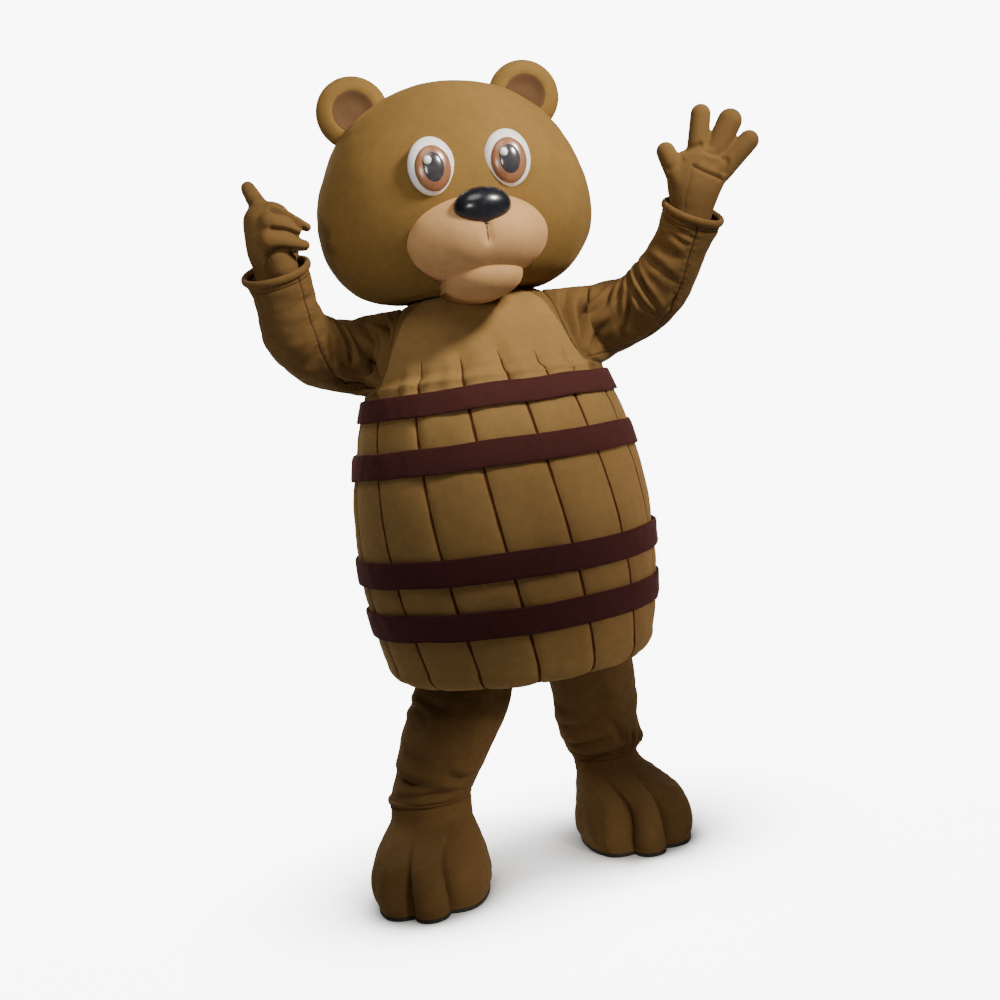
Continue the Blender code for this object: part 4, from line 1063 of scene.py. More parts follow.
# %% Chest panels
def make_chest(name, facing, finish, columns):
    """Outer skin left to right and inner skin right to left, as one closed section per row."""
    rows, swing = chest_rows()
    section = chest_section(columns)
    local = section * (math.pi / 2 - swing - SEAM_GAP)[:, None]
    height = np.repeat(rows[:, None], len(section), axis=1)
    flat = torso_point(facing + local, height, 0 * height)
    radius = radii_at(TORSO_ROWS, height)[0]
    relief, line = tuck_fields(local, height, radius)
    above = height - RIDGE_HEIGHT - roughness_of(flat * ONLY_ROUND, RIDGE_WAVER)
    relief += RIDGE_RISE * hump(above, RIDGE_SPREAD)
    relief -= RIDGE_DIP * hump(above - RIDGE_DIP_ABOVE, RIDGE_SPREAD)
    relief += roughness_of(flat * LONG_UPRIGHT, CHEST_BROAD) + roughness_of(flat, CHEST_SMALL)
    past = past_bib(local, height) * radius
    in_front = facing == 0
    relief -= BIB_SEAM_DEPTH * hump(past, BIB_SEAM_WIDTH) * in_front
    line = np.maximum(line, BIB_DARK * drawn_line(past, BIB_THREAD) * in_front)
    free = ramp(rows, BARREL_TOP, CHEST_EASE) * ramp(-rows, -TORSO_ROWS[-1].height, CHEST_EASE)
    rim = 1 - np.abs(section) ** RIM_POWER
    relief = relief * free[:, None] * rim
    under = lowest_near(relief[:, :columns], 3, 6) * rim[:columns] - CHEST_CLOTH
    skin = np.hstack([relief[:, :columns], under[:, ::-1][:, ::CHEST_INNER_STEP]])
    grid = torso_point(facing + local, height, -skin)
    grid[[0, -1], :, 2] = rows[[0, -1], None]
    line = np.where(np.arange(len(section)) < columns, line, 0.0)
    cloth = np.clip(past / BIB_SEAM_WIDTH, 0, 1)
    piece = grid_piece(f"cloth_{name}", grid, finish, line=line, cloth=cloth)
    return stands_for(piece, finish, name)


chest_front = make_chest("chest_front", 0.0, "honey_fleece", 321)
chest_back = make_chest("chest_back", math.pi, "brown_fleece", 181)
print("chest panels of", MADE["cloth_chest_front"], "and", MADE["cloth_chest_back"], "triangles")

# %% [markdown]
# ## Sleeves and legs
#
# A sleeve is a tube of cloth whose path bends at the elbow. Rings square to the path carry the shape,
# an up direction carried along keeps them from twisting, and a Hermite curve joins the first ring to
# the armhole. Creases are listed in tables, on the cloth unrolled flat, as a dresser would see
# them: they fan out from the armpit, crowd inside the elbow, and run out towards the cuff. Near the
# armhole the real cloth is longer than the unrolled plan, so distances there are stretched to match.
# Deep in a crease the nap is darkened with painted shade. The hem at the cuff is turned over in a fat roll
# with one line of stitches below it, and the sleeve's seam puckers in short waves.

# %% Tables of the sleeves
SLEEVE_ROWS = {
    "left": table(
        TubeRow,
        (0.322, -0.012, 1.292, 0.084, 0.104), (0.375, -0.045, 1.303, 0.078, 0.088),
        (0.430, -0.090, 1.338, 0.073, 0.078), (0.468, -0.128, 1.388, 0.066, 0.070),
        (0.500, -0.158, 1.444, 0.064, 0.066), (0.527, -0.185, 1.500, 0.071, 0.071),
    ),
    "right": table(
        TubeRow,
        (-0.318, -0.020, 1.286, 0.086, 0.104), (-0.365, -0.070, 1.300, 0.083, 0.090),
        (-0.402, -0.125, 1.335, 0.078, 0.080), (-0.417, -0.165, 1.385, 0.071, 0.074),
        (-0.421, -0.188, 1.440, 0.069, 0.070), (-0.428, -0.212, 1.495, 0.078, 0.078),
    ),
}
SLEEVE_CREASES = {
    "left": table(
        Crease,
        (0.13, 70, -0.03, -75, 0.000, 0.0079, 0.0126), (0.31, 60, -0.05, -56, 0.011, 0.0079, 0.0149),
        (0.38, 0, 0.00, -50, 0.012, 0.0079, 0.0103), (0.20, 75, 0.12, 8, 0.030, 0.0085, 0.0092),
        (0.44, 62, 0.19, 5, 0.021, 0.0092, 0.0092), (0.53, 30, 0.38, -36, 0.008, 0.0060, 0.0120),
        (0.52, 60, 0.38, -5, 0.007, 0.0070, 0.0080), (0.40, -30, 0.33, -60, -0.011, 0.0060, 0.0060),
        (0.59, 95, 0.51, -68, -0.005, 0.0060, 0.0130), (0.65, 80, 0.52, -66, 0.006, 0.0058, 0.0150),
        (0.71, 70, 0.67, -70, 0.009, 0.0075, 0.0060), (0.52, -58, 0.63, -66, -0.006, 0.0060, 0.0070),
        (0.92, 60, 0.89, -60, 0.004, 0.0060, 0.0060), (0.88, 10, 0.85, -48, 0.003, 0.0060, 0.0050),
        (0.79, 40, 0.78, -49, 0.004, 0.0100, 0.0050), (0.14, 110, -0.03, 225, 0.000, 0.0079, 0.0126),
        (0.30, 115, 0.00, 215, -0.010, 0.0085, 0.0138), (0.42, 105, 0.24, 205, -0.012, 0.0085, 0.0126),
        (0.56, 105, 0.47, 230, 0.004, 0.0060, 0.0120), (0.64, 100, 0.56, 235, -0.006, 0.0060, 0.0130),
        (0.73, 115, 0.70, 240, -0.006, 0.0070, 0.0080), (0.90, 130, 0.87, 225, 0.000, 0.0060, 0.0050),
    ),
    "right": table(
        Crease,
        (0.57, 75, 0.35, -30, 0.000, 0.0062, 0.0140), (0.36, 20, 0.04, -36, 0.020, 0.0092, 0.0149),
        (0.33, 100, -0.03, -40, -0.016, 0.0081, 0.0126), (0.15, 66, -0.05, -20, 0.005, 0.0079, 0.0115),
        (0.08, 60, -0.06, -10, -0.004, 0.0079, 0.0103), (0.09, 10, -0.05, -44, -0.001, 0.0079, 0.0115),
        (0.29, -16, -0.04, -48, -0.004, 0.0092, 0.0138), (0.49, -48, -0.06, -44, 0.018, 0.0089, 0.0160),
        (0.62, -15, 0.55, -68, -0.004, 0.0130, 0.0050), (0.51, -10, 0.20, -34, 0.015, 0.0080, 0.0080),
        (0.66, -36, 0.58, -108, -0.009, 0.0140, 0.0040), (0.59, 5, 0.45, -40, 0.000, 0.0080, 0.0080),
        (0.83, 30, 0.80, -60, 0.008, 0.0110, 0.0040), (0.14, 110, -0.03, 225, 0.000, 0.0079, 0.0126),
        (0.30, 115, 0.00, 215, -0.010, 0.0085, 0.0138), (0.43, 105, 0.26, 205, -0.012, 0.0085, 0.0126),
        (0.57, 105, 0.47, 230, 0.004, 0.0060, 0.0130), (0.67, 115, 0.60, 240, -0.006, 0.0065, 0.0110),
        (0.80, 130, 0.78, 230, 0.004, 0.0100, 0.0050),
    ),
}
SeamRow = namedtuple("SeamRow", "along around")
SLEEVE_SEAMS = {
    "left": table(
        SeamRow,
        (0.00, 314), (0.19, 292), (0.34, 277), (0.45, 277), (0.58, 289), (0.70, 296), (0.80, 305),
        (1.00, 314),
    ),
    "right": table(
        SeamRow,
        (0.00, 308), (0.11, 303), (0.34, 297), (0.41, 308), (0.53, 325), (0.62, 338), (0.70, 344),
        (1.00, 347),
    ),
}
print("creases in the sleeves:", {side: len(rows) for side, rows in SLEEVE_CREASES.items()})

# %% Paths and rings
Tube = namedtuple("Tube", "outer normal run length along angle")


def carry_frames(centres):
    """Directions along a path, and an up direction carried along it with the least turning."""
    along = unit(np.gradient(centres, axis=0))
    up = np.array((0.0, 0.0, 1.0))
    ups = []
    for direction in along:
        up = up - direction * np.dot(up, direction)
        up /= np.linalg.norm(up)
        ups.append(up)
    return along, np.array(ups)


def tube_rings(rows, count, around, side_sign):
    """Rings square to the path through the rows' centres, shaped by the rows' two radii."""
    values = smooth_rows(rows, count)
    along, ups = carry_frames(values[:, :3])
    sides = np.cross(along, ups) * side_sign
    angle = turns(around)
    across = np.cos(angle)[None, :, None] * (values[:, 4, None] * sides)[:, None, :]
    upward = np.sin(angle)[None, :, None] * (values[:, 3, None] * ups)[:, None, :]
    return values[:, None, :3] + across + upward


def root_rings(seam, first_ring, out, along, count):
    """Rings between the armhole and the sleeve's first ring, on Hermite curves.

    Each point leaves the armhole along the torso's outward direction and arrives along the sleeve.
    """
    t = (np.arange(count) / count)[:, None, None]
    reach = np.linalg.norm(first_ring - seam, axis=1)[None, :, None]
    weights = (2 * t**3 - 3 * t**2 + 1, t**3 - 2 * t**2 + t, -2 * t**3 + 3 * t**2, t**3 - t**2)
    parts = (seam[None], out[None] * reach, first_ring[None], along[None] * reach)
    return sum(weight * part for weight, part in zip(weights, parts))


def unroll(outer):
    """A tube laid out flat: the run down its middle, the share along it and the angle round it."""
    centres = outer.mean(axis=1)
    run = np.concatenate([[0.0], np.cumsum(np.linalg.norm(np.diff(centres, axis=0), axis=1))])
    angle = np.degrees(turns(outer.shape[1]))[None, :]
    return Tube(outer, normals_of(outer), run, run[-1], (run / run[-1])[:, None], angle)


print("tube helpers ready")

# %% Seams and rolled hems along a tube
SEAM_GROOVE = 0.0040
SEAM_DEPTH = 0.0026
SEAM_THREAD = 0.0020
SEAM_DARK = 0.9
PUCKER = 0.014
PUCKER_DRIFT = 40
PUCKER_RISE = 0.0007
CLOTH = 0.004
ROLL_TURNS = (-72, 235)
ROLL_COVERS = 1.85
TUBE_INNER_STEP = 4
TUBE_CLEAR = (5, 2)


def seam_fields(tube, girth, rows):
    """Depth and darkness of a seam that wanders round the tube as it runs along it.

    The cloth dips into the seam and puckers beside it in short waves; the thread is a thin dark line.
    """
    path = np.interp(tube.along, [row.along for row in rows], [row.around for row in rows])
    off = np.abs((tube.angle - path + 180) % 360 - 180) / 360 * girth
    run = tube.run[:, None]
    waves = np.sin(run * math.tau / PUCKER + 2 * np.sin(run * PUCKER_DRIFT))
    relief = PUCKER_RISE * waves * hump(off - 2 * SEAM_GROOVE, SEAM_GROOVE)
    return relief - SEAM_DEPTH * hump(off, SEAM_GROOVE), SEAM_DARK * drawn_line(off, SEAM_THREAD)


def rolled_rim(ring, outward, along, radii, count):
    """Rings round a turned hem: an oval roll from the outer skin over to the inside."""
    angle = np.radians(np.linspace(*ROLL_TURNS, count))[:, None, None]
    return ring[None] + radii[0] * np.cos(angle) * outward[None] + radii[1] * np.sin(angle) * along[None]


def cloth_tube(node, tube, relief, dark, way, roll, roll_rows):
    """Outer cloth, a rolled hem and the inner side, closed into a ring.

    The hem points along `way`. The rows that the roll covers are left out.
    """
    outer, normal = tube.outer, tube.normal
    kept = int(np.sum(tube.length - tube.run > ROLL_COVERS * roll[1]))
    shaped = outer + normal * relief[:, :, None]
    middle = outer[-1] - way * roll[1] - normal[-1] * CLOTH / 2
    rim = rolled_rim(middle, normal[-1], way, roll, roll_rows)
    under = outer + normal * (lowest_near(relief, *TUBE_CLEAR) - CLOTH)[:, :, None]
    inner = under[::-1][len(outer) - kept :: TUBE_INNER_STEP]
    first_inner = outer[0] - normal[0] * CLOTH
    grid = np.vstack([shaped[:kept], rim, inner, first_inner[None]])
    line = np.zeros(grid.shape[:2])
    # Thread where the seam and the cuff's stitches run, and painted shade deep in the creases.
    line[:kept] = np.maximum(dark, painted_crease_shade(relief))[:kept]
    piece = grid_piece(f"cloth_{node}", grid, "brown_fleece", ring=True, line=line)
    return stands_for(piece, "brown_fleece", node)


print("seam and hem helpers ready")

# %% Sleeves
SLEEVE_AROUND = 176
SLEEVE_ROOT_ROWS = 46
SLEEVE_SKIN_ROWS = 156
SLEEVE_GIRTH = math.tau * 0.075
SLEEVE_BROAD = {"left": Rough(0.0018, 0.09, 42), "right": Rough(0.0018, 0.09, 40)}
SLEEVE_SMALL = Rough(0.0006, 0.035, 43)
ROOT_LEAVES = 0.3
ROOT_ARRIVES = 0.55
CUFF_ROLL = (0.0068, 0.0095)
CUFF_ROLL_ROWS = 26
CUFF_BACK = 6
CUFF_PLAIN = 0.012
CUFF_EASE = 0.02
CUFF_STITCH = 0.029
STITCH_PULL = (0.0018, 0.0028)
ROLL_PULL = (0.0026, 0.0030)
STITCH_DARK = (0.75, 0.0016)
SEAM_HOLD = 0.014
STRETCH_LIMITS = (0.8, 4.0)


def sleeve_skin(side):
    """Smooth rings from the armhole's seam over the shoulder and down to the cuff."""
    sign = SIDE_SIGN[side]
    skin = tube_rings(SLEEVE_ROWS[side], SLEEVE_SKIN_ROWS, SLEEVE_AROUND, sign)
    swing, heights = armhole(turns(SLEEVE_AROUND), SEAT_GAP)
    seam = torso_point(math.pi / 2 - swing, heights)
    out = seam - torso_point(math.pi / 2 - swing, heights, 1.0 + 0 * heights)
    seam[:, 0] *= sign
    out[:, 0] *= sign
    leave = skin[1].mean(axis=0) - skin[0].mean(axis=0)
    leave = np.broadcast_to(leave / np.linalg.norm(leave), seam.shape)
    root = root_rings(seam, skin[0], ROOT_LEAVES * unit(out), ROOT_ARRIVES * leave, SLEEVE_ROOT_ROWS)
    return np.vstack([root, skin])


def make_sleeve(side):
    """Creases, unevenness, the cuff's stitches and the sewn seam, pressed into the smooth skin."""
    tube = unroll(sleeve_skin(side))
    steps = np.linalg.norm(np.diff(tube.outer, axis=0), axis=2)
    longest = steps.sum(axis=0).max()
    print("sleeve", side, "along its middle:", round(tube.length, 3), "m; longest:", round(longest, 3), "m")
    spacing = steps / np.diff(tube.run)[:, None]
    stretch = np.clip(np.vstack([spacing, spacing[-1:]]), *STRETCH_LIMITS)
    creases = SLEEVE_CREASES[side]
    relief = crease_relief(tube.along, tube.angle, tube.length, SLEEVE_GIRTH, creases, stretch)
    relief = relief + roughness_of(tube.outer, SLEEVE_BROAD[side], SLEEVE_SMALL)
    to_cuff = (tube.length - tube.run)[:, None]
    relief = relief * ramp(to_cuff, CUFF_PLAIN, CUFF_EASE)
    relief = relief - STITCH_PULL[0] * hump(to_cuff - CUFF_STITCH, STITCH_PULL[1])
    relief = relief - ROLL_PULL[0] * hump(to_cuff - 2 * CUFF_ROLL[1], ROLL_PULL[1])
    sewn, thread = seam_fields(tube, SLEEVE_GIRTH, SLEEVE_SEAMS[side])
    from_armhole = np.vstack([0 * steps[:1], np.cumsum(steps, axis=0)])
    relief = (relief + sewn) * ramp(from_armhole, 0, SEAM_HOLD)
    dark = np.maximum(thread, STITCH_DARK[0] * hump(to_cuff - CUFF_STITCH, STITCH_DARK[1]))
    way = unit(tube.outer[-1] - tube.outer[-CUFF_BACK])
    piece = cloth_tube(f"sleeve_{side}", tube, relief, dark, way, CUFF_ROLL, CUFF_ROLL_ROWS)


for side in SIDE_SIGN:
    make_sleeve(side)
print("sleeves of", MADE["cloth_sleeve_left"], "triangles")

# %% Tables of the legs' creases
LEG_CREASES = {
    "left": table(
        Crease,
        (0.84, -95, 0.77, 30, -0.009, 0.0095, 0.013), (0.88, -80, 0.93, 32, -0.010, 0.0080, 0.012),
        (0.74, 46, 0.98, 40, 0.010, 0.0065, 0.010), (0.80, 80, 0.96, 66, 0.000, 0.0130, -0.010),
        (0.15, -3, 0.66, -11, 0.007, 0.0220, 0.006), (0.61, -84, 0.61, 0, -0.011, 0.0120, 0.006),
        (0.60, 12, 0.89, 27, 0.007, 0.0100, 0.007), (0.80, 115, 0.86, 235, 0.008, 0.0090, 0.012),
        (0.90, 130, 0.88, 250, -0.006, 0.0080, 0.010), (0.55, 130, 0.62, 225, 0.010, 0.0140, 0.007),
    ),
    "right": table(
        Crease,
        (0.14, -80, 0.33, 5, 0.017, 0.0140, 0.007), (0.25, -105, 0.32, -30, 0.017, 0.0080, 0.010),
        (0.30, -8, 0.55, 44, -0.009, 0.0160, 0.006), (0.52, 54, 0.67, 16, 0.010, 0.0120, 0.006),
        (0.54, -95, 0.67, -10, 0.002, 0.0140, 0.007), (0.72, 5, 0.82, 65, -0.015, 0.0080, 0.010),
        (0.74, -88, 0.85, 10, -0.002, 0.0100, 0.012), (0.92, -60, 0.90, 50, 0.006, 0.0080, 0.009),
        (0.80, 115, 0.84, 235, 0.008, 0.0100, 0.011), (0.55, 120, 0.63, 225, 0.010, 0.0130, 0.007),
        (0.22, 150, 0.30, 240, 0.012, 0.0140, 0.007),
    ),
}
LEG_SEAMS = {
    "left": table(SeamRow, (0.0, 100), (1.0, 104)),
    "right": table(SeamRow, (0.0, 260), (1.0, 256)),
}
print("creases in the legs:", {side: len(rows) for side, rows in LEG_CREASES.items()})

# %% Legs
LEG_AROUND = 126
LEG_SKIN_ROWS = 150
LEG_GIRTH = math.tau * 0.105
LEG_BROAD = {"left": Rough(0.0018, 0.10, 52), "right": Rough(0.0018, 0.10, 50)}
LEG_SMALL = Rough(0.0006, 0.04, 53)
LEG_ROLL = (0.0052, 0.0065)
LEG_ROLL_ROWS = 18
LEG_EASE = 0.014
LEG_SEAM_EASE = 0.006
LEG_TOP_PLAIN = 0.03
COLLAR_LIFT = 0.006
BASE_TOP = HEM_TURN - HEM_RADIUS + STAVE_WALL


def level_rings(rows, count, around):
    """Level rings down a leg: the forward axis is a quarter turn before the leftward axis."""
    values = smooth_rows(rows, count)
    x, y, height, half_up, half_side = (values[:, k : k + 1] for k in range(5))
    return np.concatenate([x, y, 0 * x], axis=1)[:, None] + wheel(half_up, turns(around), height, half_side)


def make_leg(side):
    """The leg's cloth from its top edge inside the barrel down to its rolled hem on the boot."""
    rows = LEG_ROWS[side]
    skin = level_rings(rows, LEG_SKIN_ROWS, LEG_AROUND)
    collar = [skin[0] + np.array([0, 0, lift]) for lift in (BASE_TOP - rows[0].height, COLLAR_LIFT)]
    tube = unroll(np.vstack([collar, skin]))
    relief = crease_relief(tube.along, tube.angle, tube.length, LEG_GIRTH, LEG_CREASES[side])
    relief = relief + roughness_of(tube.outer, LEG_BROAD[side], LEG_SMALL)
    run = tube.run[:, None]
    to_hem = tube.length - run
    sewn, thread = seam_fields(tube, LEG_GIRTH, LEG_SEAMS[side])
    fade = ramp(run, LEG_TOP_PLAIN, LEG_TOP_PLAIN) * ramp(to_hem, 0, LEG_SEAM_EASE)
    relief = (relief * ramp(to_hem, 0, LEG_EASE) + sewn) * fade
    down = np.broadcast_to(np.array([0.0, 0.0, -1.0]), skin[-1].shape)
    piece = cloth_tube(f"leg_{side}", tube, relief, thread, down, LEG_ROLL, LEG_ROLL_ROWS)


for side in SIDE_SIGN:
    make_leg(side)
print("legs of", MADE["cloth_leg_left"], "triangles")

# %% [markdown]
# ## Gloves
#
# A glove's palm and digits flow into each other with no edge between, which no one grid can follow. So
# the palm is a loft, each digit a tapering rod with round ends, and Blender's voxel remesh joins them
# into one skin. A few rounds of smoothing settle it and the wrist is cut open. Seams and creases are
# lines given on the front view, pressed into the side that each one faces. Solidify then
# gives the cloth its thickness.

# %% Tables of the gloves
PalmRow = namedtuple("PalmRow", "x y height half_width half_thickness")
Digit = namedtuple("Digit", "base tip base_radius tip_radius")
PALM_ROWS = {
    "left": table(
        PalmRow,
        (0.5200, -0.1980, 1.5060, 0.051, 0.038), (0.5275, -0.2040, 1.5385, 0.060, 0.040),
        (0.5379, -0.2060, 1.5706, 0.068, 0.040), (0.5520, -0.2070, 1.5961, 0.064, 0.037),
        (0.5640, -0.2080, 1.6160, 0.048, 0.031), (0.5700, -0.2080, 1.6290, 0.020, 0.014),
    ),
    "right": table(
        PalmRow,
        (-0.4275, -0.2260, 1.5030, 0.050, 0.046), (-0.4240, -0.2320, 1.5270, 0.058, 0.050),
        (-0.4215, -0.2360, 1.5700, 0.060, 0.050), (-0.4240, -0.2370, 1.6050, 0.054, 0.045),
        (-0.4230, -0.2370, 1.6290, 0.038, 0.030), (-0.4225, -0.2370, 1.6400, 0.015, 0.012),
    ),
}
PALM_LEAN = {"left": math.radians(18), "right": math.radians(4)}
DIGITS = {
    "left": table(
        Digit,
        ((0.500, -0.212, 1.560), (0.4748, -0.218, 1.6295), 0.0270, 0.0220),
        ((0.544, -0.206, 1.610), (0.5640, -0.210, 1.7020), 0.0245, 0.0230),
        ((0.582, -0.206, 1.610), (0.6265, -0.212, 1.6781), 0.0260, 0.0280),
        ((0.592, -0.206, 1.570), (0.6633, -0.212, 1.6296), 0.0260, 0.0235),
    ),
    "right": table(
        Digit,
        ((-0.434, -0.236, 1.618), (-0.457, -0.240, 1.673), 0.0235, 0.0165),
        ((-0.410, -0.256, 1.611), (-0.3385, -0.254, 1.5690), 0.0240, 0.0105),
        ((-0.414, -0.274, 1.588), (-0.3640, -0.272, 1.5640), 0.0260, 0.0155),
        ((-0.420, -0.276, 1.550), (-0.3480, -0.276, 1.5280), 0.0270, 0.0135),
        ((-0.408, -0.250, 1.514), (-0.4030, -0.250, 1.4880), 0.0345, 0.0325),
    ),
}
print("digits:", {side: len(rows) for side, rows in DIGITS.items()})

# %% Seams and creases of the gloves, on the front view
GloveLine = namedtuple("GloveLine", "facing width depth dark points")
# The dark column is the darkness drawn along each line: thread on a seam, painted shade on a crease or where
# fingers meet.
GLOVE_LINES = {
    "left": table(
        GloveLine,
        (-1, 0.0045, 0.0045, 0.72, [(0.524, 1.590), (0.538, 1.579), (0.565, 1.563), (0.592, 1.550)]),
        (
            -1, 0.0040, 0.0010, 0.42,
            [(0.525, 1.582), (0.519, 1.561), (0.510, 1.539), (0.502, 1.516), (0.499, 1.490)],
        ),
        (-1, 0.0070, 0.0062, 0.3, [(0.512, 1.627), (0.538, 1.627), (0.558, 1.632)]),
        (-1, 0.0070, 0.0062, 0.3, [(0.559, 1.620), (0.571, 1.609), (0.594, 1.603)]),
        (-1, 0.0065, 0.0058, 0.3, [(0.597, 1.600), (0.604, 1.584), (0.596, 1.559)]),
        (-1, 0.0075, 0.0025, 0.0, [(0.511, 1.606), (0.492, 1.594), (0.470, 1.585)]),
        (-1, 0.0120, 0.0030, 0.0, [(0.548, 1.600), (0.566, 1.588), (0.585, 1.580)]),
        (1, 0.0036, 0.0022, 0.6, [(0.520, 1.500), (0.532, 1.550), (0.545, 1.600)]),
        (1, 0.0055, 0.0030, 0.2, [(0.520, 1.622), (0.560, 1.628)]),
        (1, 0.0055, 0.0030, 0.2, [(0.568, 1.618), (0.600, 1.596)]),
    ),
    "right": table(
        GloveLine,
        (
            -1, 0.0050, 0.0075, 0.5,
            [(-0.413, 1.617), (-0.394, 1.609), (-0.371, 1.600), (-0.355, 1.581), (-0.340, 1.556)],
        ),
        (
            -1, 0.0050, 0.0065, 0.5,
            [(-0.416, 1.572), (-0.400, 1.568), (-0.379, 1.563), (-0.359, 1.552), (-0.341, 1.541)],
        ),
        (
            -1, 0.0055, 0.0080, 0.6,
            [
                (-0.334, 1.512), (-0.356, 1.513), (-0.379, 1.520),
                (-0.402, 1.524), (-0.425, 1.520), (-0.437, 1.507),
            ],
        ),
        (-1, 0.0050, 0.0050, 0.4, [(-0.437, 1.512), (-0.440, 1.488), (-0.439, 1.462)]),
        (-1, 0.0060, 0.0040, 0.3, [(-0.463, 1.634), (-0.446, 1.640), (-0.430, 1.648)]),
        (1, 0.0036, 0.0022, 0.6, [(-0.430, 1.500), (-0.427, 1.550), (-0.424, 1.605)]),
        (1, 0.0060, 0.0035, 0.2, [(-0.420, 1.600), (-0.385, 1.590)]),
        (1, 0.0060, 0.0035, 0.2, [(-0.420, 1.565), (-0.385, 1.555)]),
    ),
}
print("lines on the gloves:", {side: len(rows) for side, rows in GLOVE_LINES.items()})

# %% Palm and digits
PALM_RINGS = 24
DIGIT_RINGS = 22
DIGIT_AROUND = 28
ROD_END = math.pi / 2 - 0.15
ROD_SIDE = (0.3, -1.0, 0.2)


def rod_rings(digit):
    """A tapering rod: two half spheres and a cone between, as rings square to the digit's axis."""
    base, tip = np.array(digit.base), np.array(digit.tip)
    axis = tip - base
    length = np.linalg.norm(axis)
    axis = axis / length
    side = np.cross(axis, ROD_SIDE)
    side /= np.linalg.norm(side)
    up = np.cross(axis, side)
    turn = np.linspace(-ROD_END, ROD_END, DIGIT_RINGS)
    at_tip = (turn > 0).astype(float)
    radius = digit.base_radius + (digit.tip_radius - digit.base_radius) * at_tip
    forward = radius * np.sin(turn) + length * at_tip
    out = radius * np.cos(turn)
    angle = turns(DIGIT_AROUND)
    rim = np.cos(angle)[:, None] * side + np.sin(angle)[:, None] * up
    return base + forward[:, None, None] * axis + out[:, None, None] * rim[None]


def palm_loft(side, tucked):
    """Oval rings up the palm, starting at the ring of the sleeve in which the glove is tucked."""
    lean, sign = PALM_LEAN[side], SIDE_SIGN[side]
    across = np.array((-sign * math.cos(lean), 0.0, sign * math.sin(lean)))
    rings = [tucked]
    for x, y, height, half_width, half_thickness in smooth_rows(PALM_ROWS[side], PALM_RINGS):
        ring = ring_in_plane((x, y, height), FORWARD, across, half_thickness, half_width, len(tucked))
        rings.append(ring)
    return np.array(rings)


print("a digit of", rod_rings(DIGITS["left"][0]).shape[:2], "rings and points")

# %% Work on a mesh whose points follow no grid
GLOVE_THREAD_AND_SHADE_WIDTH = 0.0028
RELAX_STEP = 0.5
KNOTS_PER_POINT = 6
FACING_GAIN = 3
FACING_START = 0.4
END_FADE = 4
FAR_OFF = 1.0


def vertex_vectors(mesh, label):
    """Positions or normals of a mesh's vertices as one array."""
    values = np.empty(3 * len(mesh.vertices), dtype=np.float32)
    mesh.vertices.foreach_get(label, values)
    return values.reshape(-1, 3).astype(float)


def relax(mesh, rounds):
    """Move each point towards the mean of its neighbours, found from the mesh's edges as arrays."""
    count = len(mesh.vertices)
    edges = np.empty(2 * len(mesh.edges), dtype=np.int32)
    mesh.edges.foreach_get("vertices", edges)
    a, b = edges.reshape(-1, 2).T
    points = vertex_vectors(mesh, "co")
    degree = np.maximum(np.bincount(np.concatenate([a, b]), minlength=count), 1)[:, None]
    for _ in range(rounds):
        total = [
            np.bincount(a, points[b, k], count) + np.bincount(b, points[a, k], count) for k in range(3)
        ]
        points = points + RELAX_STEP * (np.stack(total, axis=1) / degree - points)
    set_floats(mesh.vertices, "co", points)
    mesh.update()


def nearest_on(points, flat):
    """Distance from each flat place to a smooth line through the points, and the share along it there."""
    knots = smooth_rows(points, KNOTS_PER_POINT * len(points))
    steps = np.linalg.norm(np.diff(knots, axis=0), axis=1)
    marks = np.concatenate([[0.0], np.cumsum(steps)])
    off, at = np.full(len(flat), FAR_OFF), np.zeros(len(flat))
    for start, end, step, mark in zip(knots[:-1], knots[1:], steps, marks):
        t = np.clip((flat - start) @ (end - start) / step**2, 0, 1)
        away = np.linalg.norm(flat - start - t[:, None] * (end - start), axis=1)
        at = np.where(away < off, (mark + t * step) / marks[-1], at)
        off = np.minimum(away, off)
    return off, at


def press_lines(mesh, lines):
    """Press the listed seams and creases into the front or back, and note how dark each is: thread on a seam,
    painted shade on a crease or where fingers meet.

    A vertex sinks along its normal by the depth times exp(-(distance / width) squared), where the
    distance is measured on the front view to the nearest point of the line. The ends fade out.
    """
    points, normals = vertex_vectors(mesh, "co"), vertex_vectors(mesh, "normal")
    flat = points[:, [0, 2]] - np.array([0.0, FLOOR])
    relief, thread = np.zeros(len(points)), np.zeros(len(points))
    for line in lines:
        off, at = nearest_on(line.points, flat)
        faces = np.clip(FACING_START + line.facing * normals[:, 1] * FACING_GAIN, 0, 1)
        fade = faces * np.clip(np.sin(math.pi * at) * END_FADE, 0, 1) ** 0.5
        relief = np.maximum(relief, line.depth * fade * hump(off, line.width))
        drawn = drawn_line(off, GLOVE_THREAD_AND_SHADE_WIDTH, THREAD_REACH) * (fade > 0)
        # Thread along a seam; painted shade along a crease or where fingers meet.
        thread = np.maximum(thread, line.dark * faces * drawn)
    points -= normals * relief[:, None]
    set_floats(mesh.vertices, "co", points)
    set_floats(mesh.attributes.new("line", "FLOAT", "POINT").data, "value", thread)
    mesh.update()


print("mesh helpers ready")

# %% Gloves
WRIST_RINGS = 11
WRIST_AROUND = 40
WRIST_RING = 8
WRIST_CUT = 0.008
GLOVE_VOXEL = 0.0030
GLOVE_RELAX = 7
GLOVE_WALL = 0.003


def meshes_joined(name, parts):
    """One object from several pieces' meshes, laid into each other; the pieces are removed."""
    work = bmesh.new()
    for part in parts:
        work.from_mesh(part.data)
    mesh = bpy.data.meshes.new(name)
    work.to_mesh(mesh)
    work.free()
    for part in parts:
        bpy.data.objects.remove(part, do_unlink=True)
    return add_object(name, mesh)


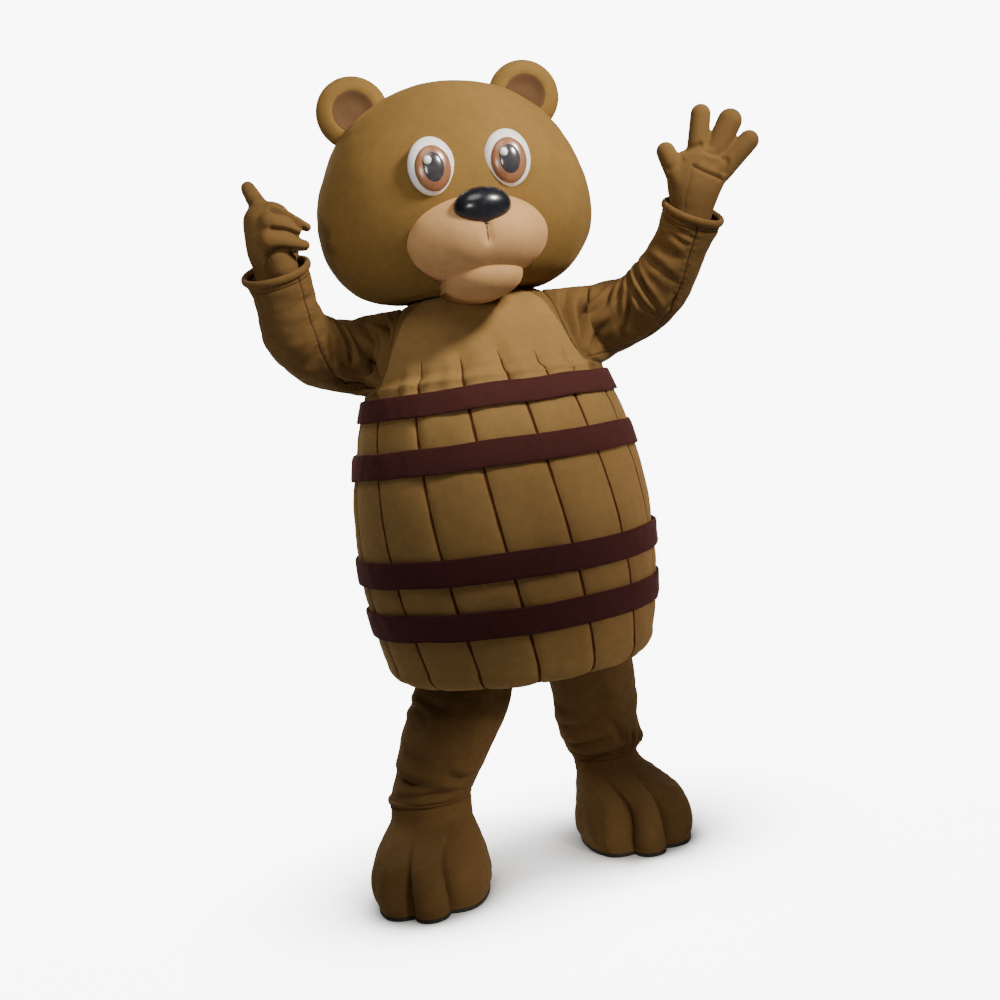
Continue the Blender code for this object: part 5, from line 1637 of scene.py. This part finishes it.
def cut_open(mesh, place, outward):
    """Cut away all that lies beyond a plane."""
    work = bmesh.new()
    work.from_mesh(mesh)
    everything = list(work.verts) + list(work.edges) + list(work.faces)
    bmesh.ops.bisect_plane(work, geom=everything, plane_co=place, plane_no=outward, clear_outer=True)
    work.to_mesh(mesh)
    work.free()


def make_glove(side):
    """Palm and digits in one skin, its seams pressed in, cut open at the wrist and given a wall."""
    wrist = tube_rings(SLEEVE_ROWS[side], WRIST_RINGS, WRIST_AROUND, SIDE_SIGN[side])
    inset = CLOTH + SEAT_GAP
    ring = wrist[WRIST_RING]
    centre = ring.mean(axis=0)
    tucked = centre + (ring - centre) * (1 - inset / np.linalg.norm(ring - centre, axis=1, keepdims=True))
    parts = [grid_piece("palm_form", palm_loft(side, tucked), "brown_fleece")]
    parts += [grid_piece("digit_form", rod_rings(digit), "brown_fleece") for digit in DIGITS[side]]
    piece = meshes_joined(f"cloth_glove_{side}", parts)
    remesh = piece.modifiers.new("join", "REMESH")
    remesh.mode = "VOXEL"
    remesh.voxel_size = GLOVE_VOXEL
    apply_modifiers(piece)
    relax(piece.data, GLOVE_RELAX)
    low = tucked.mean(axis=0) + np.array([0.0, 0.0, FLOOR])
    out = wrist[WRIST_RING + 1].mean(axis=0) - wrist[WRIST_RING].mean(axis=0)
    cut_open(piece.data, low + WRIST_CUT * out / np.linalg.norm(out), -out)
    press_lines(piece.data, GLOVE_LINES[side])
    piece.data.shade_smooth()
    wall = piece.modifiers.new("cloth", "SOLIDIFY")
    wall.thickness = GLOVE_WALL
    wall.offset = -1.0
    apply_modifiers(piece)
    piece.data.materials.clear()
    piece.data.materials.append(FINISHES["brown_fleece"])
    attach(piece, "root")
    stands_for(piece, "brown_fleece", f"glove_{side}")


for side in SIDE_SIGN:
    make_glove(side)
print("gloves of", MADE["cloth_glove_left"], MADE["cloth_glove_right"], "triangles")

# %% [markdown]
# ## Boots
#
# A boot is soft foam under fleece: three round toes in front, a plain heel and a shaft that meets the
# leg. Level outlines are stacked from the sole up. Two grooves are pressed into the outline so that
# each toe between them is a rounded lobe. They are deepest at mid height, where painted shade darkens
# them too, and they fade out over the instep.

# %% Boot tables
BootRow = namedtuple("BootRow", "height half_width heel toe groove towards_leg")
Boot = namedtuple("Boot", "side centre yaw grooves")
SOLE_THICKNESS = 0.008
SOLE_EDGE = 0.001
TOE_SQUARE = 0.80
GROOVE_FLOOR = math.radians(1.5)
BOOT_WALL = 0.008
BOOT_AROUND = 180
BOOT_ROWS = table(
    BootRow,
    (0.008, 0.130, -0.180, 0.188, 0.036, 0.0),
    (0.040, 0.138, -0.190, 0.200, 0.047, 0.0),
    (0.080, 0.137, -0.184, 0.200, 0.050, 0.0),
    (0.118, 0.128, -0.178, 0.182, 0.045, 0.08),
    (0.148, 0.115, -0.174, 0.134, 0.030, 0.40),
    (0.169, 0.102, -0.172, 0.072, 0.010, 0.82),
    (0.190, 0.090, -0.170, 0.050, 0.000, 1.0),
)
DEEPEST_GROOVE = BOOT_ROWS[2].groove
BOOTS = table(
    Boot,
    ("left", (0.2180, 0.0700), math.radians(12), (math.radians(-29), math.radians(23))),
    ("right", (-0.2800, -0.1550), math.radians(-2), (math.radians(-24), math.radians(31))),
)
print("boots:", [boot.side for boot in BOOTS])


# %% Outlines of a boot
def toe_grooves(boot):
    """How deep each groove is round the boot, as a share: 1 at a groove, 0 from half way to the next."""
    signed = (turns(BOOT_AROUND) + math.pi) % math.tau - math.pi
    spread = (boot.grooves[1] - boot.grooves[0]) / 2
    away = [np.sqrt((signed - place) ** 2 + GROOVE_FLOOR**2) / spread for place in boot.grooves]
    return [np.clip(1 - off, 0, 1) ** 2 for off in away]


def foot_outlines(boot, rows, grow):
    """Level outlines: ovals with squarer toes, pressed in along the outward direction at grooves."""
    turn = turns(BOOT_AROUND)[None, :]
    height, half_width, heel, toe, groove = (rows[:, k : k + 1] for k in range(5))
    half_width = half_width + grow
    half_length = (toe - heel) / 2 + grow
    sin, cos = np.sin(turn), np.cos(turn)
    across = half_width * sin
    forward = (toe + heel) / 2 + half_length * np.where(cos > 0, np.abs(cos) ** TOE_SQUARE, cos)
    out_across, out_forward = sin + 0 * half_width, cos * half_width / half_length
    scale = np.hypot(out_across, out_forward)
    for share in toe_grooves(boot):
        across = across - groove * share * out_across / scale
        forward = forward - groove * share * out_forward / scale
    cos_yaw, sin_yaw = math.cos(boot.yaw), math.sin(boot.yaw)
    x = boot.centre[0] + across * cos_yaw + forward * sin_yaw
    y = boot.centre[1] + across * sin_yaw - forward * cos_yaw
    return np.stack([x, y, height + 0 * turn], axis=2)


def boot_rings(boot, count, inset, low, high):
    """Outlines from the underside up, turning into the leg's last ring as they climb."""
    ankle = LEG_ROWS[boot.side][-1]
    rows = smooth_rows(BOOT_ROWS, count)
    sizes = (ankle.half_side - inset, ankle.half_up - inset)
    leg_ring = ring_in_plane((ankle.x, ankle.y, high), FORWARD, LEFTWARD, *sizes, BOOT_AROUND)
    blend = np.clip(rows[:, 5], 0, 1)[:, None, None]
    rings = foot_outlines(boot, rows, -inset) * (1 - blend) + leg_ring[None] * blend
    rings[:, :, 2] = rows[:, 0:1]
    rings[0, :, 2] = low
    rings[-1, :, 2] = high
    return rings


def scaled_rings(ring, shares):
    """The same ring drawn in towards its middle, once for each share of its size."""
    middle = ring.mean(axis=0)
    return [middle + (ring - middle) * share for share in shares]


print("points in an outline:", BOOT_AROUND)

# %% Boots and soles
BOOT_OUTER_ROWS = 96
BOOT_INNER_ROWS = 32
BOOT_BROAD = {"left": Rough(0.0016, 0.08, 72), "right": Rough(0.0016, 0.08, 71)}
BOOT_SMALL = Rough(0.0005, 0.03, 73)
BOOT_LOW_EASE = 0.02
BOOT_TOP_EASE = 0.01
UNDER_SHARES = (0.25, 0.6, 0.9)
INSIDE_SHARES = (0.8, 0.4)
SOLE_SHARES = (0.3, 0.7, 0.985, 1.0, 1.0, 0.985, 0.7, 0.3)
SOLE_HEIGHTS = (0.0, 0.0, 0.0, 0.0012, 0.0068, 0.008, 0.008, 0.008)


def make_boot(boot):
    """Outer skin from the sole up, over the top edge and down the inside, between two poles."""
    top = LEG_ROWS[boot.side][-1].height - SEAT_GAP
    low = SOLE_THICKNESS + SEAM_GAP
    outer = boot_rings(boot, BOOT_OUTER_ROWS, 0.0, low, top)
    uneven = roughness_of(outer, BOOT_BROAD[boot.side], BOOT_SMALL)
    height = outer[:, :1, 2]
    fade = ramp(height, low, BOOT_LOW_EASE) * ramp(-height, -top, BOOT_TOP_EASE)
    outer = outer + normals_of(outer) * (uneven * fade)[:, :, None]
    inner = boot_rings(boot, BOOT_INNER_ROWS, BOOT_WALL, low + BOOT_WALL, top)[::-1]
    under = scaled_rings(outer[0], UNDER_SHARES)
    grid = np.vstack([under, outer, inner, scaled_rings(inner[-1], INSIDE_SHARES)])
    line = np.zeros(grid.shape[:2])
    # The grooves are darkened with painted shade, most at the deepest rows and at each groove's floor.
    depth = smooth_rows(BOOT_ROWS, len(outer))[:, 4:5] / DEEPEST_GROOVE
    dark = FOLD_SHADE * np.clip(depth, 0, 1) * sum(toe_grooves(boot)) ** 2
    line[len(under) : len(under) + len(outer)] = dark
    piece = grid_piece(f"padded_boot_{boot.side}", grid, "brown_fleece", line=line)
    stands_for(piece, "brown_fleece", f"boot_{boot.side}")


def make_sole(boot):
    """The lowest outline as a flat rubber sole with rounded edges."""
    outline = foot_outlines(boot, np.array([BOOT_ROWS[0]], dtype=float), SOLE_EDGE)[0]
    rings = np.array(scaled_rings(outline, SOLE_SHARES))
    rings[:, :, 2] = np.array(SOLE_HEIGHTS)[:, None]
    sole = grid_piece(f"rubber_sole_{boot.side}", rings, "sole_black")
    stands_for(sole, "sole_black", f"sole_{boot.side}")


for boot in BOOTS:
    make_boot(boot)
    make_sole(boot)
print("boots of", MADE["padded_boot_left"], "triangles")

# %% [markdown]
# ## The head
#
# The head is a foam shell covered in fleece, wide at the cheeks and open at the neck. It is turned ten
# degrees to the wearer's left. Its face is a plain bear's: a muzzle with a chin, a nose, two round
# eyes. The muzzle, chin, nose and eye layers are domes set on what is behind them, so each is a front
# surface over an oval, closed by a back that follows its carrier.

# %% Head form
HEAD_CENTRE = (-0.013, -0.020)
HEAD_YAW = math.radians(10)
HEAD_WALL = 0.016
HEAD_AROUND = 168
HEAD_RINGS = 124
HEAD_INNER_STEP = 3
HEAD_ROUGH = (Rough(0.0014, 0.16, 81), Rough(0.0004, 0.05, 82))
NECK_EASE = 0.01
FACE_TURN = math.radians(46)
FACE_TOP = 1.725
FACE_SPREAD = 3
HeadRow = namedtuple("HeadRow", "height half_width half_depth")
HEAD_ROWS = table(
    HeadRow,
    (1.388, 0.150, 0.140), (1.400, 0.214, 0.196), (1.436, 0.270, 0.246), (1.500, 0.313, 0.282),
    (1.570, 0.327, 0.298), (1.650, 0.317, 0.296), (1.728, 0.285, 0.272), (1.795, 0.236, 0.229),
    (1.848, 0.166, 0.163), (1.877, 0.085, 0.084), (1.886, 0.000, 0.000),
)


def on_head(grid):
    """Points of the head's own frame, turned with the head and moved to its place."""
    cos, sin = math.cos(HEAD_YAW), math.sin(HEAD_YAW)
    x = HEAD_CENTRE[0] + grid[..., 0] * cos - grid[..., 1] * sin
    y = HEAD_CENTRE[1] + grid[..., 0] * sin + grid[..., 1] * cos
    return np.stack([x, y, grid[..., 2]], axis=-1)


def head_depth(across, height):
    """How far forward the head's surface lies, at a place across and a height."""
    width, depth = radii_at(HEAD_ROWS, height)
    return depth * np.sqrt(np.clip(1 - (across / np.maximum(width, 1e-6)) ** 2, 0, 1))


def uneven_share(angle, height):
    """How much of the unevenness stays: none at the neck or under the face, with a soft border."""
    fade = ramp(height, height[0], NECK_EASE) + 0 * angle
    ahead = np.abs((angle + math.pi) % math.tau - math.pi) < FACE_TURN
    fade = np.where(ahead & (height < FACE_TOP), 0.0, fade)
    fade = (fade + np.roll(fade, FACE_SPREAD, axis=1) + np.roll(fade, -FACE_SPREAD, axis=1)) / 3
    fade[2:-2] = (fade[:-4] + fade[1:-3] + fade[2:-2] + fade[3:-1] + fade[4:]) / 5
    return fade


def make_head():
    """The shell's outer and inner skins, joined round the neck and closed over the crown."""
    angle = turns(HEAD_AROUND)
    height, half_width, half_depth = np.hsplit(smooth_rows(HEAD_ROWS, HEAD_RINGS)[:-1], 3)
    rings = wheel(half_width, angle, height, half_depth)
    normal = normals_of(rings)
    uneven = roughness_of(rings, *HEAD_ROUGH) * uneven_share(angle, height)
    outer = rings + normal * uneven[:, :, None]
    inner = (rings - normal * HEAD_WALL)[::HEAD_INNER_STEP]
    inner[0, :, 2] = rings[0, 0, 2]
    grid = np.vstack([outer[::-1], inner])
    piece = grid_piece("padded_head", on_head(grid), "head_fleece", line=0.0)
    stands_for(piece, "brown_fleece", "head_shell")


make_head()
print("head of", MADE["padded_head"], "triangles")

# %% Domes on the head
Form = namedtuple("Form", "name centre radii")
MUZZLE = Form("muzzle", (0, -0.258, 1.490), (0.156, 0.128, 0.096))
CHIN = Form("chin", (0, -0.272, 1.408), (0.086, 0.078, 0.054))
NOSE = Form("nose", (0, -0.362, 1.545), (0.062, 0.042, 0.041))
FIRST_RING = 0.02
SEAT_CLEAR = 0.0002


def front_of(form, x, z):
    """How far forward an ellipsoid reaches at a place across and a height, and 0 outside it."""
    cx, cy, cz = form.centre
    a, b, c = form.radii
    inside = 1 - ((x - cx) / a) ** 2 - ((z - cz) / c) ** 2
    return np.where(inside > 0, -cy + b * np.sqrt(np.clip(inside, 0, None)), 0.0)


def dome(form, carrier, rows=50, around=112, shape=None, sink=0.004):
    """A dome over an oval: front rings from the middle out, then the carrier's surface back in.

    Ring radii follow a sine, so that the rings crowd at the rim, where the dome is steepest.
    """
    cx, cy, cz = form.centre
    a, b, c = form.radii
    turn = turns(around)
    part = np.sin(np.linspace(FIRST_RING, math.pi / 2, rows))[:, None]
    x = cx + a * part * np.cos(turn)
    z = cz + c * part * np.sin(turn)
    bulge = np.sqrt(np.clip(1 - part**2, 0, 1)) + 0 * turn
    front = -cy + b * bulge
    if shape is not None:
        front = front + shape(x, z, bulge)
    seat = carrier(x, z) - sink
    outer = np.stack([x, -np.maximum(front, seat + SEAT_CLEAR), z], axis=2)
    back = np.stack([x, -seat, z], axis=2)[::-1][1::2]
    return np.vstack([outer, back])


print("the muzzle reaches", round(float(front_of(MUZZLE, 0, 1.490)), 3), "m forward")

# %% Muzzle, chin and nose
LIP_HEIGHT_SPREAD = (1.487, 0.024)
LIP_WIDE = 0.011
LIP_DEEP = 0.0075
LIP_THREAD = 0.0022
LIP_DARK = 0.8
CHEEK_PLACE = 0.062
CHEEK_WIDE = 0.042
CHEEK_RISE = 0.006


def lip_groove(z):
    """1 halfway between the nose and the chin, fading out before either."""
    return hump(z - LIP_HEIGHT_SPREAD[0], LIP_HEIGHT_SPREAD[1], 4)


def muzzle_shape(x, z, bulge):
    """A soft groove between the nose and the chin, and two full cheeks beside it."""
    groove = LIP_DEEP * hump(x, LIP_WIDE) * lip_groove(z)
    return CHEEK_RISE * hump(np.abs(x) - CHEEK_PLACE, CHEEK_WIDE) * bulge - groove


def muzzle_alone(x, z):
    """The muzzle's own front, on which the nose sits."""
    return front_of(MUZZLE, x, z)


def muzzle_front(x, z):
    """The head's front or the muzzle's, whichever lies further forward."""
    return np.maximum(head_depth(x, z), muzzle_alone(x, z))


def make_form(form, carrier, shape, finish):
    """A dome of the face; the muzzle carries the thread of its lip line."""
    grid = dome(form, carrier, shape=shape)
    thread = drawn_line(grid[..., 0], LIP_THREAD) * lip_groove(grid[..., 2])
    line = LIP_DARK * thread if form is MUZZLE else 0.0
    piece = grid_piece(f"face_{form.name}", on_head(grid), finish, line=line)
    stands_for(piece, finish, form.name)


make_form(MUZZLE, head_depth, muzzle_shape, "peach_fleece")
make_form(CHIN, muzzle_front, None, "peach_fleece")
make_form(NOSE, muzzle_alone, None, "nose_gloss")
print("muzzle of", MADE["face_muzzle"], "triangles")

# %% Eyes
EyeLayer = namedtuple("EyeLayer", "name inward forward up radii finish")
EYE_SIDE = 0.084
EYE_HEIGHT = 1.652
EYE_ROWS = 26
EYE_AROUND = 72
EYE_SINK = 0.0008
EYE_LAYERS = table(
    EyeLayer,
    ("eye_white", 0.000, 0.0000, 0.000, (0.052, 0.023, 0.064), "eye_white"),
    ("iris", 0.000, 0.0130, -0.006, (0.040, 0.0165, 0.050), "eye_brown"),
    ("pupil", 0.000, 0.0195, -0.006, (0.027, 0.0130, 0.036), "eye_dark"),
    ("eye_glint", 0.011, 0.0275, 0.009, (0.009, 0.0075, 0.010), "eye_glint"),
)


def make_eye(side):
    """Four thin domes, each set on the ones behind it."""
    across = SIDE_SIGN[side] * EYE_SIDE
    seat = float(head_depth(across, EYE_HEIGHT))
    behind = []

    def carrier(x, z):
        """The furthest forward of the head and of the layers that are already made."""
        return np.max([head_depth(x, z)] + [front_of(form, x, z) for form in behind], axis=0)

    for layer in EYE_LAYERS:
        centre = (across - layer.inward, -seat - layer.forward, EYE_HEIGHT + layer.up)
        form = Form(layer.name, centre, layer.radii)
        grid = dome(form, carrier, EYE_ROWS, EYE_AROUND, sink=EYE_SINK)
        piece = grid_piece(f"{layer.name}_dome_{side}", on_head(grid), layer.finish)
        stands_for(piece, layer.finish, f"{layer.name}_{side}")
        behind.append(form)


for side in SIDE_SIGN:
    make_eye(side)
print("eyes of", len(EYE_LAYERS), "layers each")

# %% Ears
EAR_SIDE = 0.206
EAR_HEIGHT = 1.843
EAR_RADII = (0.086, 0.036, 0.086)
EAR_AROUND = 100
EAR_RINGS = 84
EAR_POLE = 0.02
DISH_RADIUS = 0.052
DISH_DEPTH = 0.024
DISH_EDGE = 0.86
PANEL_SHARE = 0.93
EAR_PANEL_RINGS = 32
PANEL_CROWN = 0.0035
PANEL_CLEAR = 0.0004
PANEL_BACK = 0.001


def ear_dish(x, z):
    """How deep the dish is: the depth times exp(-(distance over the dish's edge) to the fourth)."""
    return DISH_DEPTH * hump(np.hypot(x, z) / DISH_RADIUS, DISH_EDGE, 4)


def at_ear(side, x, y, z):
    """A grid about the ear's middle, moved to the head's side."""
    return np.stack([SIDE_SIGN[side] * EAR_SIDE + x, y, EAR_HEIGHT + z], axis=2)


def make_ear(side):
    """A round pad with a dish pressed into its front."""
    a, b, c = EAR_RADII
    turn = turns(EAR_AROUND)
    sweep_angle = np.linspace(EAR_POLE, math.pi - EAR_POLE, EAR_RINGS)[:, None]
    x = a * np.sin(sweep_angle) * np.cos(turn)
    z = c * np.sin(sweep_angle) * np.sin(turn)
    y = -b * np.cos(sweep_angle) + np.where(np.cos(sweep_angle) > 0, ear_dish(x, z), 0.0)
    piece = grid_piece(f"padded_ear_{side}", on_head(at_ear(side, x, y, z)), "head_fleece", line=0.0)
    stands_for(piece, "brown_fleece", f"ear_{side}")


def make_ear_panel(side):
    """A panel that lies in the ear's dish, a little crowned; its fleece is browner than the muzzle's and
    darkened further with painted shade from the dish.
    """
    a, b, c = EAR_RADII
    turn = turns(EAR_AROUND)
    part = np.sin(np.linspace(PANEL_POLE, math.pi / 2, EAR_PANEL_RINGS))[:, None]
    x = DISH_RADIUS * PANEL_SHARE * part * np.cos(turn)
    z = DISH_RADIUS * PANEL_SHARE * part * np.sin(turn)
    body = -b * np.sqrt(1 - (x / a) ** 2 - (z / c) ** 2) + ear_dish(x, z)
    lift = PANEL_CROWN * np.sqrt(np.clip(1 - part**2, 0, 1)) + PANEL_CLEAR
    back = at_ear(side, x, body + PANEL_BACK, z)[::-1][1::2]
    grid = np.vstack([at_ear(side, x, body - lift, z), back])
    piece = grid_piece(f"padded_ear_panel_{side}", on_head(grid), "ear_fleece_and_painted_shade", line=0.0)
    stands_for(piece, "peach_fleece", f"ear_panel_{side}")


for side in SIDE_SIGN:
    make_ear(side)
    make_ear_panel(side)
print("ears of", MADE["padded_ear_left"], "triangles")

# %% Sizes and finish
print("triangles in all:", sum(MADE.values()))
